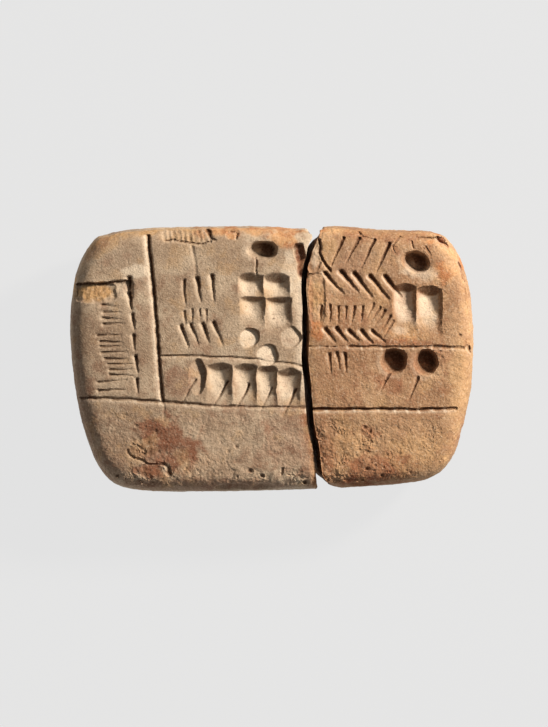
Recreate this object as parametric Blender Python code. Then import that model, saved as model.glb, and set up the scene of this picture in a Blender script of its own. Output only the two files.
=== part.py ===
"""Two fragments of a small inscribed clay tablet, lying side by side on their back.

The tablet lies along X with its inscribed face up and its top edge toward +Y. The origin is at
the middle of its box, on the surface that it rests on. Lengths are in metres. Places on the face
are shares of LENGTH and WIDTH measured from the tablet's middle, so the carving follows the clay.
"""

import math

import bmesh
import bpy
from mathutils import Matrix, Vector

# Driving dimensions of the clay
LENGTH = 0.0685
WIDTH = 0.0453
THICKNESS = 0.016
BELLY_HEIGHT = 0.0075     # height of the widest line of the edge
EDGE_RUN = 0.005          # how far the edge rounds over before the face begins
EDGE_SQUARENESS = 3.4     # exponent of the edge's section: 2 is an ellipse, more is squarer
BACK_RUN = 0.0075         # how far the edge rounds under before the flat of the back
FACE_DOME = 0.0006        # fall of the face from its middle to the end of either axis

# The break and the two fragments
BREAK_GAP = 0.0004        # clearance between the fragments deep in the break
BREAK_MOUTH = 0.001       # width of the break where it opens on the face
MOUTH_DEPTH = 0.003       # how far down the break narrows
BREAK_LEAN = 0.0012       # how far the break leans to the left between the face and the back
BREAK_WAVE = 0.0001       # height of the unevenness of the broken faces
BREAK_REACH = 0.002       # how far the break's surface runs past the clay on every side

# Ruled lines and strokes
RULE_WIDTH = 0.00065
RULE_DEPTH = 0.0005
STROKE_WIDTH = 0.0007
STROKE_DEPTH = 0.0006
TAIL_SHARE = 0.45         # width of a stroke's tail as a share of its head
TAIL_DEPTH = 0.0001
CUT_LIFT = 0.0004         # how far every cutter stands out of the clay

# Counting marks
HOLE_DEPTH = 0.0026
HOLE_TAPER = 0.8          # width at the foot of a hole as a share of its mouth
SCOOP_DEPTH = 0.0014
SCOOP_SLOPE = math.radians(17)
DISC_DEPTH = 0.0005
DISC_SLOPE = math.radians(5)

# Fineness of the facets
OUTLINE_STEPS = 84
SPLINE_STEPS = 24
ROUND_SIDES = 14
EDGE_ROWS = 5
BACK_ROWS = 4
DOME_SHARES = (0.28, 0.55, 0.8)
BREAK_COLUMNS = 20
BREAK_ROWS = 9

# Outline of the clay as shares of LENGTH and WIDTH, from the right end round by the top edge
OUTLINE = (
    (0.500, 0.069), (0.493, 0.230), (0.473, 0.352), (0.438, 0.440), (0.391, 0.476), (0.272, 0.483),
    (0.153, 0.496), (0.069, 0.487), (-0.045, 0.496), (-0.302, 0.489), (-0.396, 0.470), (-0.443, 0.440),
    (-0.475, 0.358), (-0.493, 0.257), (-0.500, 0.088), (-0.485, -0.133), (-0.460, -0.290),
    (-0.426, -0.410), (-0.381, -0.474), (-0.302, -0.496), (-0.163, -0.498), (0.069, -0.491),
    (0.317, -0.470), (0.406, -0.436), (0.448, -0.369), (0.475, -0.249), (0.495, -0.099),
)

# Run of the break from the top edge to the bottom edge, in the same shares
BREAK_LINE = (
    (0.116, 0.520), (0.108, 0.455), (0.099, 0.421), (0.089, 0.391), (0.082, 0.345), (0.079, 0.272),
    (0.079, 0.182), (0.082, 0.075), (0.081, 0.002), (0.083, -0.058), (0.089, -0.118), (0.094, -0.175),
    (0.095, -0.238), (0.100, -0.275), (0.107, -0.320), (0.110, -0.388), (0.118, -0.450), (0.124, -0.520),
)

# Ruled lines: the points of each one
RULES = {
    "rule_first_column": ((-0.303, 0.455), (-0.286, 0.219), (-0.272, -0.062), (-0.263, -0.212)),
    "rule_lower_left": ((-0.483, -0.144), (-0.327, -0.152), (-0.136, -0.174), (0.090, -0.181)),
    "rule_middle_left": ((-0.275, 0.011), (-0.116, 0.006), (0.000, -0.009), (0.082, -0.028)),
    "rule_break_column": ((0.060, 0.419), (0.069, 0.294)),
    "rule_short": ((-0.193, 0.421), (-0.188, 0.358), (-0.183, 0.298)),
    "rule_middle_right": ((0.191, 0.045), (0.317, 0.043), (0.470, 0.041)),
    "rule_lower_right": ((0.085, -0.187), (0.267, -0.187), (0.451, -0.185)),
}

# Rows of plain strokes: first head, last head, count, and a stroke's run from head to tail
STROKE_ROWS = {
    "strokes_first_stack": ((-0.431, 0.170), (-0.424, -0.095), 9, (0.068, -0.004)),
    "strokes_first_pair": ((-0.385, 0.292), (-0.347, 0.285), 2, (0.010, -0.082)),
    "strokes_first_side": ((-0.338, 0.140), (-0.333, -0.080), 4, (0.006, -0.048)),
    "strokes_second_upper": ((-0.222, 0.268), (-0.140, 0.262), 3, (0.010, -0.098)),
    "strokes_second_lower": ((-0.205, 0.140), (-0.128, 0.134), 3, (-0.012, -0.090)),
    "strokes_under_scoops": ((-0.170, -0.085), (0.060, -0.118), 5, (-0.036, -0.085)),
    "strokes_right_first": ((0.178, 0.455), (0.300, 0.430), 4, (-0.034, -0.105)),
    "strokes_right_second": ((0.128, 0.325), (0.290, 0.312), 5, (0.044, -0.080)),
    "strokes_right_third": ((0.118, 0.198), (0.282, 0.186), 7, (-0.008, -0.062)),
    "strokes_right_fourth": ((0.130, 0.108), (0.296, 0.104), 5, (0.026, -0.044)),
    "strokes_right_fifth": ((0.140, 0.018), (0.176, 0.016), 3, (0.004, -0.052)),
    "strokes_under_holes": ((0.296, -0.058), (0.358, -0.066), 2, (-0.022, -0.075)),
}

# Round holes: middle, length and width of the mouth, and turn
HOLES = {
    "hole_first": ((-0.024, 0.401), 0.0046, 0.0028, 0.0),
    "hole_second": ((0.361, 0.363), 0.0046, 0.0033, math.radians(-16)),
    "hole_third": ((0.299, -0.006), 0.0040, 0.0039, 0.0),
    "hole_fourth": ((0.379, -0.010), 0.0036, 0.0040, 0.0),
}

# Scoops pressed with a slanted round reed: middle of the deep end, width and length
SCOOPS = {
    "scoop_upper_left": ((-0.051, 0.316), 0.0039, 0.0042),
    "scoop_upper_right": ((0.012, 0.314), 0.0040, 0.0043),
    "scoop_middle_left": ((-0.046, 0.212), 0.0038, 0.0040),
    "scoop_middle_right": ((0.016, 0.210), 0.0039, 0.0046),
    "scoop_lower_first": ((-0.152, -0.034), 0.0036, 0.0052),
    "scoop_lower_second": ((-0.094, -0.036), 0.0036, 0.0056),
    "scoop_lower_third": ((-0.034, -0.042), 0.0035, 0.0058),
    "scoop_lower_fourth": ((0.030, -0.048), 0.0037, 0.0058),
    "scoop_right_first": ((0.324, 0.272), 0.0039, 0.0068),
    "scoop_right_second": ((0.384, 0.266), 0.0041, 0.0072),
}

# Shallow discs: middle and width
DISCS = {
    "disc_left": ((-0.055, 0.081), 0.0030),
    "disc_middle": ((-0.004, 0.050), 0.0033),
    "disc_right": ((0.042, 0.078), 0.0031),
}

# Chips: middle as shares of LENGTH, WIDTH and THICKNESS, and the size of the missing piece
CHIPS = {
    "chip_left_edge": ((-0.450, 0.245, 1.00), (0.0078, 0.0030, 0.0026)),
    "chip_bottom_first": ((-0.095, -0.488, 0.88), (0.0064, 0.0020, 0.0030)),
    "chip_bottom_second": ((-0.020, -0.486, 0.89), (0.0044, 0.0018, 0.0028)),
    "chip_bottom_left": ((-0.292, -0.418, 1.02), (0.0058, 0.0026, 0.0022)),
    "chip_bottom_right": ((0.225, -0.478, 0.87), (0.0054, 0.0022, 0.0032)),
    "chip_top_right": ((0.426, 0.452, 0.86), (0.0028, 0.0018, 0.0028)),
    "chip_right_edge": ((0.478, 0.330, 0.82), (0.0014, 0.0036, 0.0026)),
}

# Corner lost from each fragment beside the break: middle, length and width of the missing piece
NOTCHES = {
    "left_fragment": ((0.111, 0.500), 0.0025, 0.0058),
    "right_fragment": ((0.122, -0.500), 0.0062, 0.0052),
}

# Colour and roughness of the dry clay
LEFT_CLAY = (0.42, 0.31, 0.22)
RIGHT_CLAY = (0.48, 0.34, 0.22)
CLAY_ROUGHNESS = 0.9


def clear_scene():
    """Removes whatever the file holds."""
    for thing in list(bpy.data.objects):
        bpy.data.objects.remove(thing, do_unlink=True)
    for group in list(bpy.data.collections):
        bpy.data.collections.remove(group)


def new_collection(name):
    """A collection linked to the scene."""
    group = bpy.data.collections.new(name)
    bpy.context.scene.collection.children.link(group)
    return group


def new_clay(name, colour):
    """A dry clay material of one colour."""
    material = bpy.data.materials.new(name)
    material.use_nodes = True
    shader = material.node_tree.nodes["Principled BSDF"]
    shader.inputs["Base Color"].default_value = (*colour, 1.0)
    shader.inputs["Roughness"].default_value = CLAY_ROUGHNESS
    shader.inputs["Metallic"].default_value = 0.0
    return material


def new_object(name, form, group):
    """An object of the finished bmesh, in one collection."""
    bmesh.ops.recalc_face_normals(form, faces=form.faces)
    mesh = bpy.data.meshes.new(name)
    form.to_mesh(mesh)
    form.free()
    thing = bpy.data.objects.new(name, mesh)
    group.objects.link(thing)
    return thing


def new_cutter(name, form, group):
    """A cutter: seen as wire and never rendered."""
    cutter = new_object(name, form, group)
    cutter.display_type = "WIRE"
    cutter.hide_render = True
    return cutter


def spline(points, steps, closed):
    """Points of a smooth curve that runs through the given points."""
    count = len(points)
    spans = count if closed else count - 1
    curve = []
    for span in range(spans):
        if closed:
            four = [points[(span + shift) % count] for shift in (-1, 0, 1, 2)]
        else:
            four = [points[min(max(span + shift, 0), count - 1)] for shift in (-1, 0, 1, 2)]
        before, start, end, after = (Vector(point) for point in four)
        for step in range(steps):
            t = step / steps
            curve.append(0.5 * (
                2 * start + (end - before) * t + (2 * before - 5 * start + 4 * end - after) * t ** 2
                + (3 * start - before - 3 * end + after) * t ** 3))
    if not closed:
        curve.append(Vector(points[-1]))
    return curve


def outline_points():
    """The clay's outline, evenly spaced, filling LENGTH by WIDTH exactly."""
    curve = spline(OUTLINE, SPLINE_STEPS, closed=True)
    spans = [(curve[index] - curve[index - 1]).length for index in range(len(curve))]
    marks = [sum(spans[:index]) for index in range(len(curve) + 1)]
    even = []
    for step in range(OUTLINE_STEPS):
        goal = marks[-1] * step / OUTLINE_STEPS
        span = max(index for index in range(len(curve)) if marks[index] <= goal)
        share = (goal - marks[span]) / max(spans[span], 1e-9)
        even.append(curve[span - 1].lerp(curve[span], share))
    low = [min(point[axis] for point in even) for axis in (0, 1)]
    high = [max(point[axis] for point in even) for axis in (0, 1)]
    return [
        Vector((
            LENGTH * ((point.x - low[0]) / (high[0] - low[0]) - 0.5),
            WIDTH * ((point.y - low[1]) / (high[1] - low[1]) - 0.5),
        ))
        for point in even
    ]


def drawn_in(point, inset):
    """A point of the outline drawn in toward both axes by inset."""
    return Vector((point.x * (1 - 2 * inset / LENGTH), point.y * (1 - 2 * inset / WIDTH)))


def face_height(x, y):
    """Height of the gently domed face at a place."""
    return THICKNESS - FACE_DOME * ((2 * x / LENGTH) ** 2 + (2 * y / WIDTH) ** 2)


def edge_section():
    """Rows of the edge from the face's rim down to the back's rim: inset and share of height."""
    rows = []
    for row in range(EDGE_ROWS + 1):
        turn = math.pi / 2 * row / EDGE_ROWS
        out = math.sin(turn) ** (2 / EDGE_SQUARENESS)
        up = max(0.0, math.cos(turn)) ** (2 / EDGE_SQUARENESS)
        rows.append((EDGE_RUN * (1 - out), up, True))
    for row in range(1, BACK_ROWS + 1):
        turn = math.pi / 2 * row / BACK_ROWS
        rows.append((BACK_RUN * (1 - math.cos(turn)), 1 - math.sin(turn), False))
    return rows


def ring_places(outline):
    """All rings of the uncut clay, from inside the face down to the rim of the back."""
    rim = [drawn_in(point, EDGE_RUN) for point in outline]
    rings = []
    for share in DOME_SHARES:
        rings.append([Vector((p.x * share, p.y * share, face_height(p.x * share, p.y * share))) for p in rim])
    for inset, rise, above in edge_section():
        ring = []
        for point, edge in zip(outline, rim):
            place = drawn_in(point, inset)
            height = BELLY_HEIGHT * rise
            if above:
                height = BELLY_HEIGHT + (face_height(edge.x, edge.y) - BELLY_HEIGHT) * rise
            ring.append(Vector((place.x, place.y, height)))
        rings.append(ring)
    return rings


def clay_form():
    """The uncut clay: a sphere whose rings are moved to the section and the outline."""
    rings = ring_places(outline_points())
    form = bmesh.new()
    bmesh.ops.create_uvsphere(form, u_segments=OUTLINE_STEPS, v_segments=len(rings) + 1, radius=1)
    for vertex in form.verts:
        row = round(math.acos(max(-1.0, min(1.0, vertex.co.z))) / math.pi * (len(rings) + 1))
        if row == 0:
            vertex.co = Vector((0, 0, face_height(0, 0)))
        elif row == len(rings) + 1:
            vertex.co = Vector((0, 0, 0))
        else:
            step = round(math.atan2(vertex.co.y, vertex.co.x) / math.tau * OUTLINE_STEPS)
            vertex.co = rings[row - 1][step % OUTLINE_STEPS]
    return form


def on_face(place, lift=0.0):
    """The point over a place given in shares, raised from the face by lift."""
    x = place[0] * LENGTH
    y = place[1] * WIDTH
    return Vector((x, y, face_height(x, y) + lift))


def add_groove(form, head, tail, width, depth, tail_share=1.0, tail_depth=None):
    """Adds a three-sided bar, edge down, that cuts a groove from head to tail."""
    if tail_depth is None:
        tail_depth = depth
    height = (depth + CUT_LIFT) / 1.5
    spread = width * (depth + CUT_LIFT) / depth / math.sqrt(3)
    start = head + Vector((0, 0, height - depth))
    end = tail + Vector((0, 0, height * tail_share - tail_depth))
    run = end - start
    turn = run.to_track_quat("Z", "Y").to_matrix().to_4x4()
    section = Matrix.Diagonal((spread, height, 1, 1)) @ Matrix.Rotation(math.pi, 4, "Z")
    place = Matrix.Translation((start + end) / 2)
    bmesh.ops.create_cone(
        form, cap_ends=True, segments=3, radius1=1, radius2=tail_share, depth=run.length,
        matrix=place @ turn @ section)


def cut_rules(group):
    """Cutters of the ruled lines, one for each straight stretch."""
    for name, places in RULES.items():
        for index, (start, end) in enumerate(zip(places, places[1:])):
            head = on_face(start)
            tail = on_face(end)
            overlap = (tail - head).normalized() * RULE_WIDTH / 4
            form = bmesh.new()
            add_groove(form, head - overlap, tail + overlap, RULE_WIDTH, RULE_DEPTH)
            new_cutter(f"{name}_{index}", form, group)


def cut_strokes(group):
    """Cutters of the rows of plain strokes, one object for each row."""
    for name, (first, last, count, run) in STROKE_ROWS.items():
        form = bmesh.new()
        for index in range(count):
            share = index / (count - 1)
            u = first[0] + (last[0] - first[0]) * share
            v = first[1] + (last[1] - first[1]) * share
            add_groove(
                form, on_face((u, v)), on_face((u + run[0], v + run[1])),
                STROKE_WIDTH, STROKE_DEPTH, TAIL_SHARE, TAIL_DEPTH)
        new_cutter(name, form, group)


def cut_holes(group):
    """Cutters of the round holes."""
    for name, (place, length, width, turn) in HOLES.items():
        form = bmesh.new()
        size = Matrix.Diagonal((length / 2, width / 2, 1, 1))
        spot = Matrix.Translation(on_face(place, (CUT_LIFT - HOLE_DEPTH) / 2))
        bmesh.ops.create_cone(
            form, cap_ends=True, segments=ROUND_SIDES, radius1=HOLE_TAPER, radius2=1,
            depth=HOLE_DEPTH + CUT_LIFT, matrix=spot @ Matrix.Rotation(turn, 4, "Z") @ size)
        new_cutter(name, form, group)


def cut_scoops(group):
    """Cutters of the scoops: a round bar that leans up out of the clay."""
    for name, (place, width, length) in SCOOPS.items():
        radius = width / 2
        run = length / math.cos(SCOOP_SLOPE)
        form = bmesh.new()
        bmesh.ops.create_cone(
            form, cap_ends=True, segments=ROUND_SIDES, radius1=radius, radius2=radius, depth=run,
            matrix=Matrix.Translation((0, 0, run / 2)))
        lean = Matrix.Rotation(math.pi / 2 - SCOOP_SLOPE, 4, "X")
        spot = Matrix.Translation(on_face(place, radius - SCOOP_DEPTH))
        bmesh.ops.transform(form, matrix=spot @ lean, verts=form.verts)
        new_cutter(name, form, group)


def cut_discs(group):
    """Cutters of the shallow discs, deeper toward the upper right."""
    for name, (place, width) in DISCS.items():
        form = bmesh.new()
        tilt = Matrix.Rotation(DISC_SLOPE, 4, Vector((-1, 1, 0)))
        spot = Matrix.Translation(on_face(place, (CUT_LIFT - DISC_DEPTH) / 2))
        bmesh.ops.create_cone(
            form, cap_ends=True, segments=ROUND_SIDES, radius1=width / 2, radius2=width / 2,
            depth=DISC_DEPTH + CUT_LIFT, matrix=spot @ tilt)
        new_cutter(name, form, group)


def cut_chips(group):
    """Cutters of the chipped places along the edges."""
    for name, (place, size) in CHIPS.items():
        form = bmesh.new()
        spot = Matrix.Translation((place[0] * LENGTH, place[1] * WIDTH, place[2] * THICKNESS))
        bmesh.ops.create_icosphere(
            form, subdivisions=1, radius=0.5, matrix=spot @ Matrix.Diagonal((*size, 1)))
        new_cutter(name, form, group)


def add_notch(name, group):
    """The cutter of the corner that a fragment has lost beside the break."""
    place, length, width = NOTCHES[name]
    spot = Matrix.Translation((place[0] * LENGTH, place[1] * WIDTH, THICKNESS / 2))
    form = bmesh.new()
    bmesh.ops.create_cone(
        form, cap_ends=True, segments=ROUND_SIDES, radius1=0.5, radius2=0.5, depth=2 * THICKNESS,
        matrix=spot @ Matrix.Diagonal((length, width, 1, 1)))
    return new_cutter(f"{name}_notch", form, group)


def break_place(along, height):
    """Where the break runs at a share of its way and a height: its middle line."""
    curve = spline(BREAK_LINE, SPLINE_STEPS, closed=False)
    steps = len(curve) - 1
    index = min(int(along * steps), steps - 1)
    share = along * steps - index
    spot = curve[index].lerp(curve[index + 1], share)
    depth = THICKNESS - height
    lean = BREAK_LEAN * depth / THICKNESS
    wave = BREAK_WAVE * (math.sin(along * 37 + depth * 450) + math.sin(along * 17 - depth * 750))
    return Vector((spot.x * LENGTH - lean + wave, spot.y * WIDTH))


def half_gap(height):
    """Half the width of the break at a height."""
    near = max(0.0, 1 - (THICKNESS - height) / MOUTH_DEPTH)
    return (BREAK_GAP + (BREAK_MOUTH - BREAK_GAP) * near) / 2


def fragment_block(name, side, group):
    """The room of one fragment: everything on one side (-1 or 1) of the break."""
    form = bmesh.new()
    bmesh.ops.create_grid(form, x_segments=BREAK_COLUMNS, y_segments=BREAK_ROWS, size=0.5)
    low = -BREAK_REACH
    high = THICKNESS + BREAK_REACH
    for vertex in form.verts:
        height = low + (high - low) * (vertex.co.y + 0.5)
        spot = break_place(vertex.co.x + 0.5, min(height, THICKNESS))
        gap = half_gap(min(height, THICKNESS))
        reach = (vertex.co.x > 0.5 - 1e-6) - (vertex.co.x < 1e-6 - 0.5)
        vertex.co = (spot.x + side * gap, spot.y - reach * BREAK_REACH, height)
    bmesh.ops.triangulate(form, faces=form.faces)
    grown = bmesh.ops.extrude_face_region(form, geom=list(form.faces))
    for element in grown["geom"]:
        if isinstance(element, bmesh.types.BMVert):
            element.co.x = side * LENGTH
    return new_cutter(name, form, group)


def add_boolean(thing, name, operation):
    """An exact Boolean modifier, still without its operand."""
    boolean = thing.modifiers.new(name, "BOOLEAN")
    boolean.operation = operation
    boolean.solver = "EXACT"
    return boolean


def add_fragment(name, side, colour, parts, marks, guides):
    """One fragment: the clay on one side of the break, with every mark cut into it."""
    block = fragment_block(f"{name}_room", side, guides)
    fragment = new_object(name, clay_form(), parts)
    fragment.data.materials.append(new_clay(f"{name}_clay", colour))
    add_boolean(fragment, "break", "INTERSECT").object = block
    add_boolean(fragment, "lost_corner", "DIFFERENCE").object = add_notch(name, guides)
    carve = add_boolean(fragment, "carving", "DIFFERENCE")
    carve.operand_type = "COLLECTION"
    carve.collection = marks
    return fragment


def main():
    """Builds the cutters and then the two fragments."""
    clear_scene()
    parts = new_collection("clay_tablet")
    marks = new_collection("mark_cutters")
    guides = new_collection("break_cutters")
    cut_rules(marks)
    cut_strokes(marks)
    cut_holes(marks)
    cut_scoops(marks)
    cut_discs(marks)
    cut_chips(marks)
    add_fragment("left_fragment", -1, LEFT_CLAY, parts, marks, guides)
    add_fragment("right_fragment", 1, RIGHT_CLAY, parts, marks, guides)


main()
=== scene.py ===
"""Looks of a small inscribed clay tablet in two fragments, seen lying on its back from straight above.

Each fragment is one closed mesh. It starts as a grid primitive that is extruded down into a block
of many rows, its top is subdivided once more, and its points are then laid on the clay's form: the
edge's section, the break between the fragments, and every mark, chip and crack of the face. Lengths
are in metres. Places of the ruled lines, strokes and counting marks are shares of the tablet's
length and width from its middle. Places of damage and of colour are millimetres from its middle.
Sizes in the tables are millimetres, and turns are degrees.
"""

from __future__ import annotations

import logging
import math
from dataclasses import dataclass, field
from enum import Enum

import bpy
import numpy as np
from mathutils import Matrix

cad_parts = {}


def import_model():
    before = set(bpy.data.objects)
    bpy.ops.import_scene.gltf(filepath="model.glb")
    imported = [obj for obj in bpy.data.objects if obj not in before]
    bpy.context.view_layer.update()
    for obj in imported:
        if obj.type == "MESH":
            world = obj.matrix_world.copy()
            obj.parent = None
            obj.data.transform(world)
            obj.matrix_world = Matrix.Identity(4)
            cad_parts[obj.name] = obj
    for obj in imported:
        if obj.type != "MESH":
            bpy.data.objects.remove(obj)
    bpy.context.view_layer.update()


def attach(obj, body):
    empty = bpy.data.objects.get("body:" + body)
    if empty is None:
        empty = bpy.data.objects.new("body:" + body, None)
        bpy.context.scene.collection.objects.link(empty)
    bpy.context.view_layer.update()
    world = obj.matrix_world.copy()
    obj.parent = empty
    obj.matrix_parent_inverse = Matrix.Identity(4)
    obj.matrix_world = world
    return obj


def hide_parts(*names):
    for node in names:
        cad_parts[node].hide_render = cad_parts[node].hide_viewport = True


LOG = logging.getLogger("clay_tablet")
MM = 0.001

Place = tuple[float, float]
Array = np.ndarray

# Outline of the clay as shares of its length and width, from the right end round by the top edge
OUTLINE: tuple[Place, ...] = (
    (0.500, 0.069), (0.493, 0.230), (0.473, 0.352), (0.438, 0.440), (0.391, 0.476), (0.272, 0.483),
    (0.153, 0.496), (0.069, 0.487), (-0.045, 0.496), (-0.302, 0.489), (-0.396, 0.470), (-0.443, 0.440),
    (-0.475, 0.358), (-0.493, 0.257), (-0.500, 0.088), (-0.485, -0.133), (-0.460, -0.290),
    (-0.426, -0.410), (-0.381, -0.474), (-0.302, -0.496), (-0.163, -0.498), (0.069, -0.491),
    (0.317, -0.470), (0.406, -0.436), (0.448, -0.369), (0.475, -0.249), (0.495, -0.099),
)

# Run of the break from the top edge to the bottom edge, in the same shares
BREAK_LINE: tuple[Place, ...] = (
    (0.116, 0.520), (0.108, 0.455), (0.099, 0.421), (0.089, 0.391), (0.082, 0.345), (0.079, 0.272),
    (0.079, 0.182), (0.082, 0.075), (0.081, 0.002), (0.083, -0.058), (0.089, -0.118), (0.094, -0.175),
    (0.095, -0.238), (0.100, -0.275), (0.107, -0.320), (0.110, -0.388), (0.118, -0.450), (0.124, -0.520),
)

# Ruled lines: points, then width and depth at the start and at the end
RULES: tuple[tuple[tuple[Place, ...], tuple[float, float], tuple[float, float]], ...] = (
    (((-0.303, 0.455), (-0.296, 0.361), (-0.286, 0.219), (-0.272, -0.062), (-0.264, -0.160)),
     (0.70, 0.66), (0.62, 0.52)),
    (((-0.264, -0.160), (-0.262, -0.232)), (0.42, 0.20), (0.36, 0.08)),
    (((-0.483, -0.144), (-0.327, -0.152), (-0.136, -0.174), (0.092, -0.181)), (0.62, 0.46), (0.50, 0.36)),
    (((-0.275, 0.011), (-0.116, 0.006), (0.000, -0.009), (0.082, -0.030)), (0.42, 0.40), (0.34, 0.30)),
    (((0.060, 0.419), (0.069, 0.294)), (0.46, 0.24), (0.42, 0.10)),
    (((-0.193, 0.421), (-0.188, 0.358), (-0.183, 0.298)), (0.52, 0.22), (0.50, 0.12)),
    (((0.191, 0.045), (0.317, 0.043), (0.398, 0.045)), (0.36, 0.40), (0.30, 0.36)),
    (((0.398, 0.045), (0.470, 0.041)), (0.52, 0.44), (0.44, 0.34)),
    (((0.089, 0.043), (0.191, 0.045)), (0.20, 0.34), (0.10, 0.28)),
    (((0.091, -0.187), (0.267, -0.185), (0.366, -0.188), (0.451, -0.185)), (0.48, 0.62), (0.40, 0.50)),
)

# Rows of plain strokes: first head, last head, count, a stroke's run from head to tail, and its weight
STROKE_ROWS: tuple[tuple[Place, Place, int, Place, float], ...] = (
    ((-0.414, 0.196), (-0.408, 0.130), 4, (0.042, -0.003), 0.78),
    ((-0.424, 0.082), (-0.394, -0.062), 8, (0.056, -0.002), 0.80),
    ((-0.426, -0.090), (-0.421, -0.116), 2, (0.066, 0.002), 0.85),
    ((-0.339, 0.160), (-0.331, -0.074), 4, (0.005, -0.056), 1.20),
    ((-0.349, 0.294), (-0.347, 0.240), 2, (0.002, -0.050), 1.60),
    ((-0.212, 0.285), (-0.146, 0.304), 3, (0.006, -0.096), 1.15),
    ((-0.212, 0.176), (-0.160, 0.182), 4, (0.003, -0.046), 0.72),
    ((-0.222, 0.122), (-0.142, 0.134), 4, (0.018, -0.072), 1.10),
    ((-0.184, -0.076), (-0.184, -0.076), 1, (-0.030, -0.080), 0.85),
    ((-0.109, -0.088), (0.057, -0.116), 4, (-0.030, -0.088), 0.95),
    ((0.178, 0.452), (0.288, 0.430), 4, (-0.034, -0.098), 1.05),
    ((0.132, 0.322), (0.276, 0.306), 5, (0.040, -0.076), 1.25),
    ((0.122, 0.196), (0.222, 0.190), 6, (-0.004, -0.056), 0.78),
    ((0.252, 0.206), (0.300, 0.142), 5, (-0.020, -0.050), 0.74),
    ((0.130, 0.112), (0.246, 0.104), 5, (0.026, -0.046), 1.10),
    ((0.140, 0.018), (0.178, 0.016), 3, (0.003, -0.060), 0.95),
    ((0.292, -0.056), (0.356, -0.068), 2, (-0.024, -0.080), 0.80),
)

# Round holes: middle, length and width of the mouth, and turn
HOLES: tuple[tuple[Place, float, float, float], ...] = (
    ((-0.026, 0.400), 5.2, 3.1, 2.0),
    ((0.350, 0.358), 4.7, 3.4, -14.0),
    ((0.297, -0.010), 4.3, 4.2, 0.0),
    ((0.376, -0.014), 3.8, 4.3, 0.0),
)

# Scoops pressed with a slanted round reed: middle of the deep end, width, length and depth
SCOOPS: tuple[tuple[Place, float, float, float], ...] = (
    ((-0.051, 0.296), 4.2, 3.7, 2.0), ((0.011, 0.295), 4.2, 3.8, 2.2),
    ((-0.047, 0.216), 4.1, 4.4, 1.5), ((0.016, 0.214), 4.3, 5.6, 1.7),
    ((-0.128, -0.037), 4.1, 6.8, 1.6), ((-0.065, -0.039), 3.8, 7.0, 1.5),
    ((-0.012, -0.045), 3.4, 6.8, 1.5), ((0.041, -0.057), 3.8, 6.4, 1.7),
    ((0.325, 0.256), 3.9, 7.2, 1.8), ((0.386, 0.248), 4.1, 7.4, 2.0),
)

# Shallow tilted discs: middle, length and width, depth, and how pale the floor is, which is partly painted
# light
DISCS: tuple[tuple[Place, Place, float, float], ...] = (
    ((-0.058, 0.075), (3.2, 3.2), 0.80, 1.00), ((-0.012, 0.010), (3.5, 3.5), 0.72, 1.00),
    ((0.044, 0.076), (3.4, 3.4), 0.60, 0.45), ((-0.183, -0.070), (2.6, 5.9), 1.10, 0.12),
)

# Chips: middle as shares of length, width and thickness, and the size of the missing piece
CHIPS: tuple[tuple[tuple[float, float, float], tuple[float, float, float]], ...] = (
    ((-0.095, -0.488, 0.88), (6.4, 2.0, 3.0)),
    ((-0.020, -0.486, 0.89), (4.4, 1.8, 2.8)),
    ((-0.292, -0.418, 1.02), (5.8, 2.6, 2.2)),
    ((-0.490, 0.245, 0.88), (2.4, 2.8, 2.6)),
    ((0.225, -0.478, 0.87), (5.4, 2.2, 3.2)),
    ((0.426, 0.452, 0.86), (2.8, 1.8, 2.8)),
    ((0.478, 0.330, 0.82), (1.4, 3.6, 2.6)),
)

# Flat pieces lost from the face: middle, half sizes, turn, depth, tilt, roughness and squareness
RECESSES: tuple[tuple[Place, Place, float, float, float, float, float], ...] = (
    ((-29.8, 11.1), (3.8, 1.65), 1.0, 1.00, 0.70, 0.40, 4.0),
    ((-24.9, 11.5), (1.6, 1.45), 1.0, 0.70, 0.75, 0.12, 6.0),
    ((-20.3, -18.9), (3.0, 1.1), -6.0, 0.20, 0.3, 0.30, 2.2),
    ((7.6, 9.8), (1.3, 4.6), 0.0, 0.26, 0.2, 0.30, 3.0),
    ((7.2, 17.2), (1.0, 2.8), -6.0, 0.34, 0.4, 0.20, 2.6),
    ((4.9, 16.3), (0.85, 2.9), 9.0, 0.85, 0.1, 0.30, 6.0),
    ((-14.4, 21.0), (4.6, 1.8), -4.0, 0.26, 0.2, 0.25, 3.0),
    ((-6.6, 21.0), (1.1, 0.8), 23.0, 0.30, 0.3, 0.20, 2.2),
    ((22.9, 4.4), (1.8, 0.8), -12.0, 0.14, 0.3, 0.15, 2.2),
    ((0.9, 6.8), (1.5, 0.7), -6.0, 0.45, 0.2, 0.40, 2.2),
)

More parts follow.
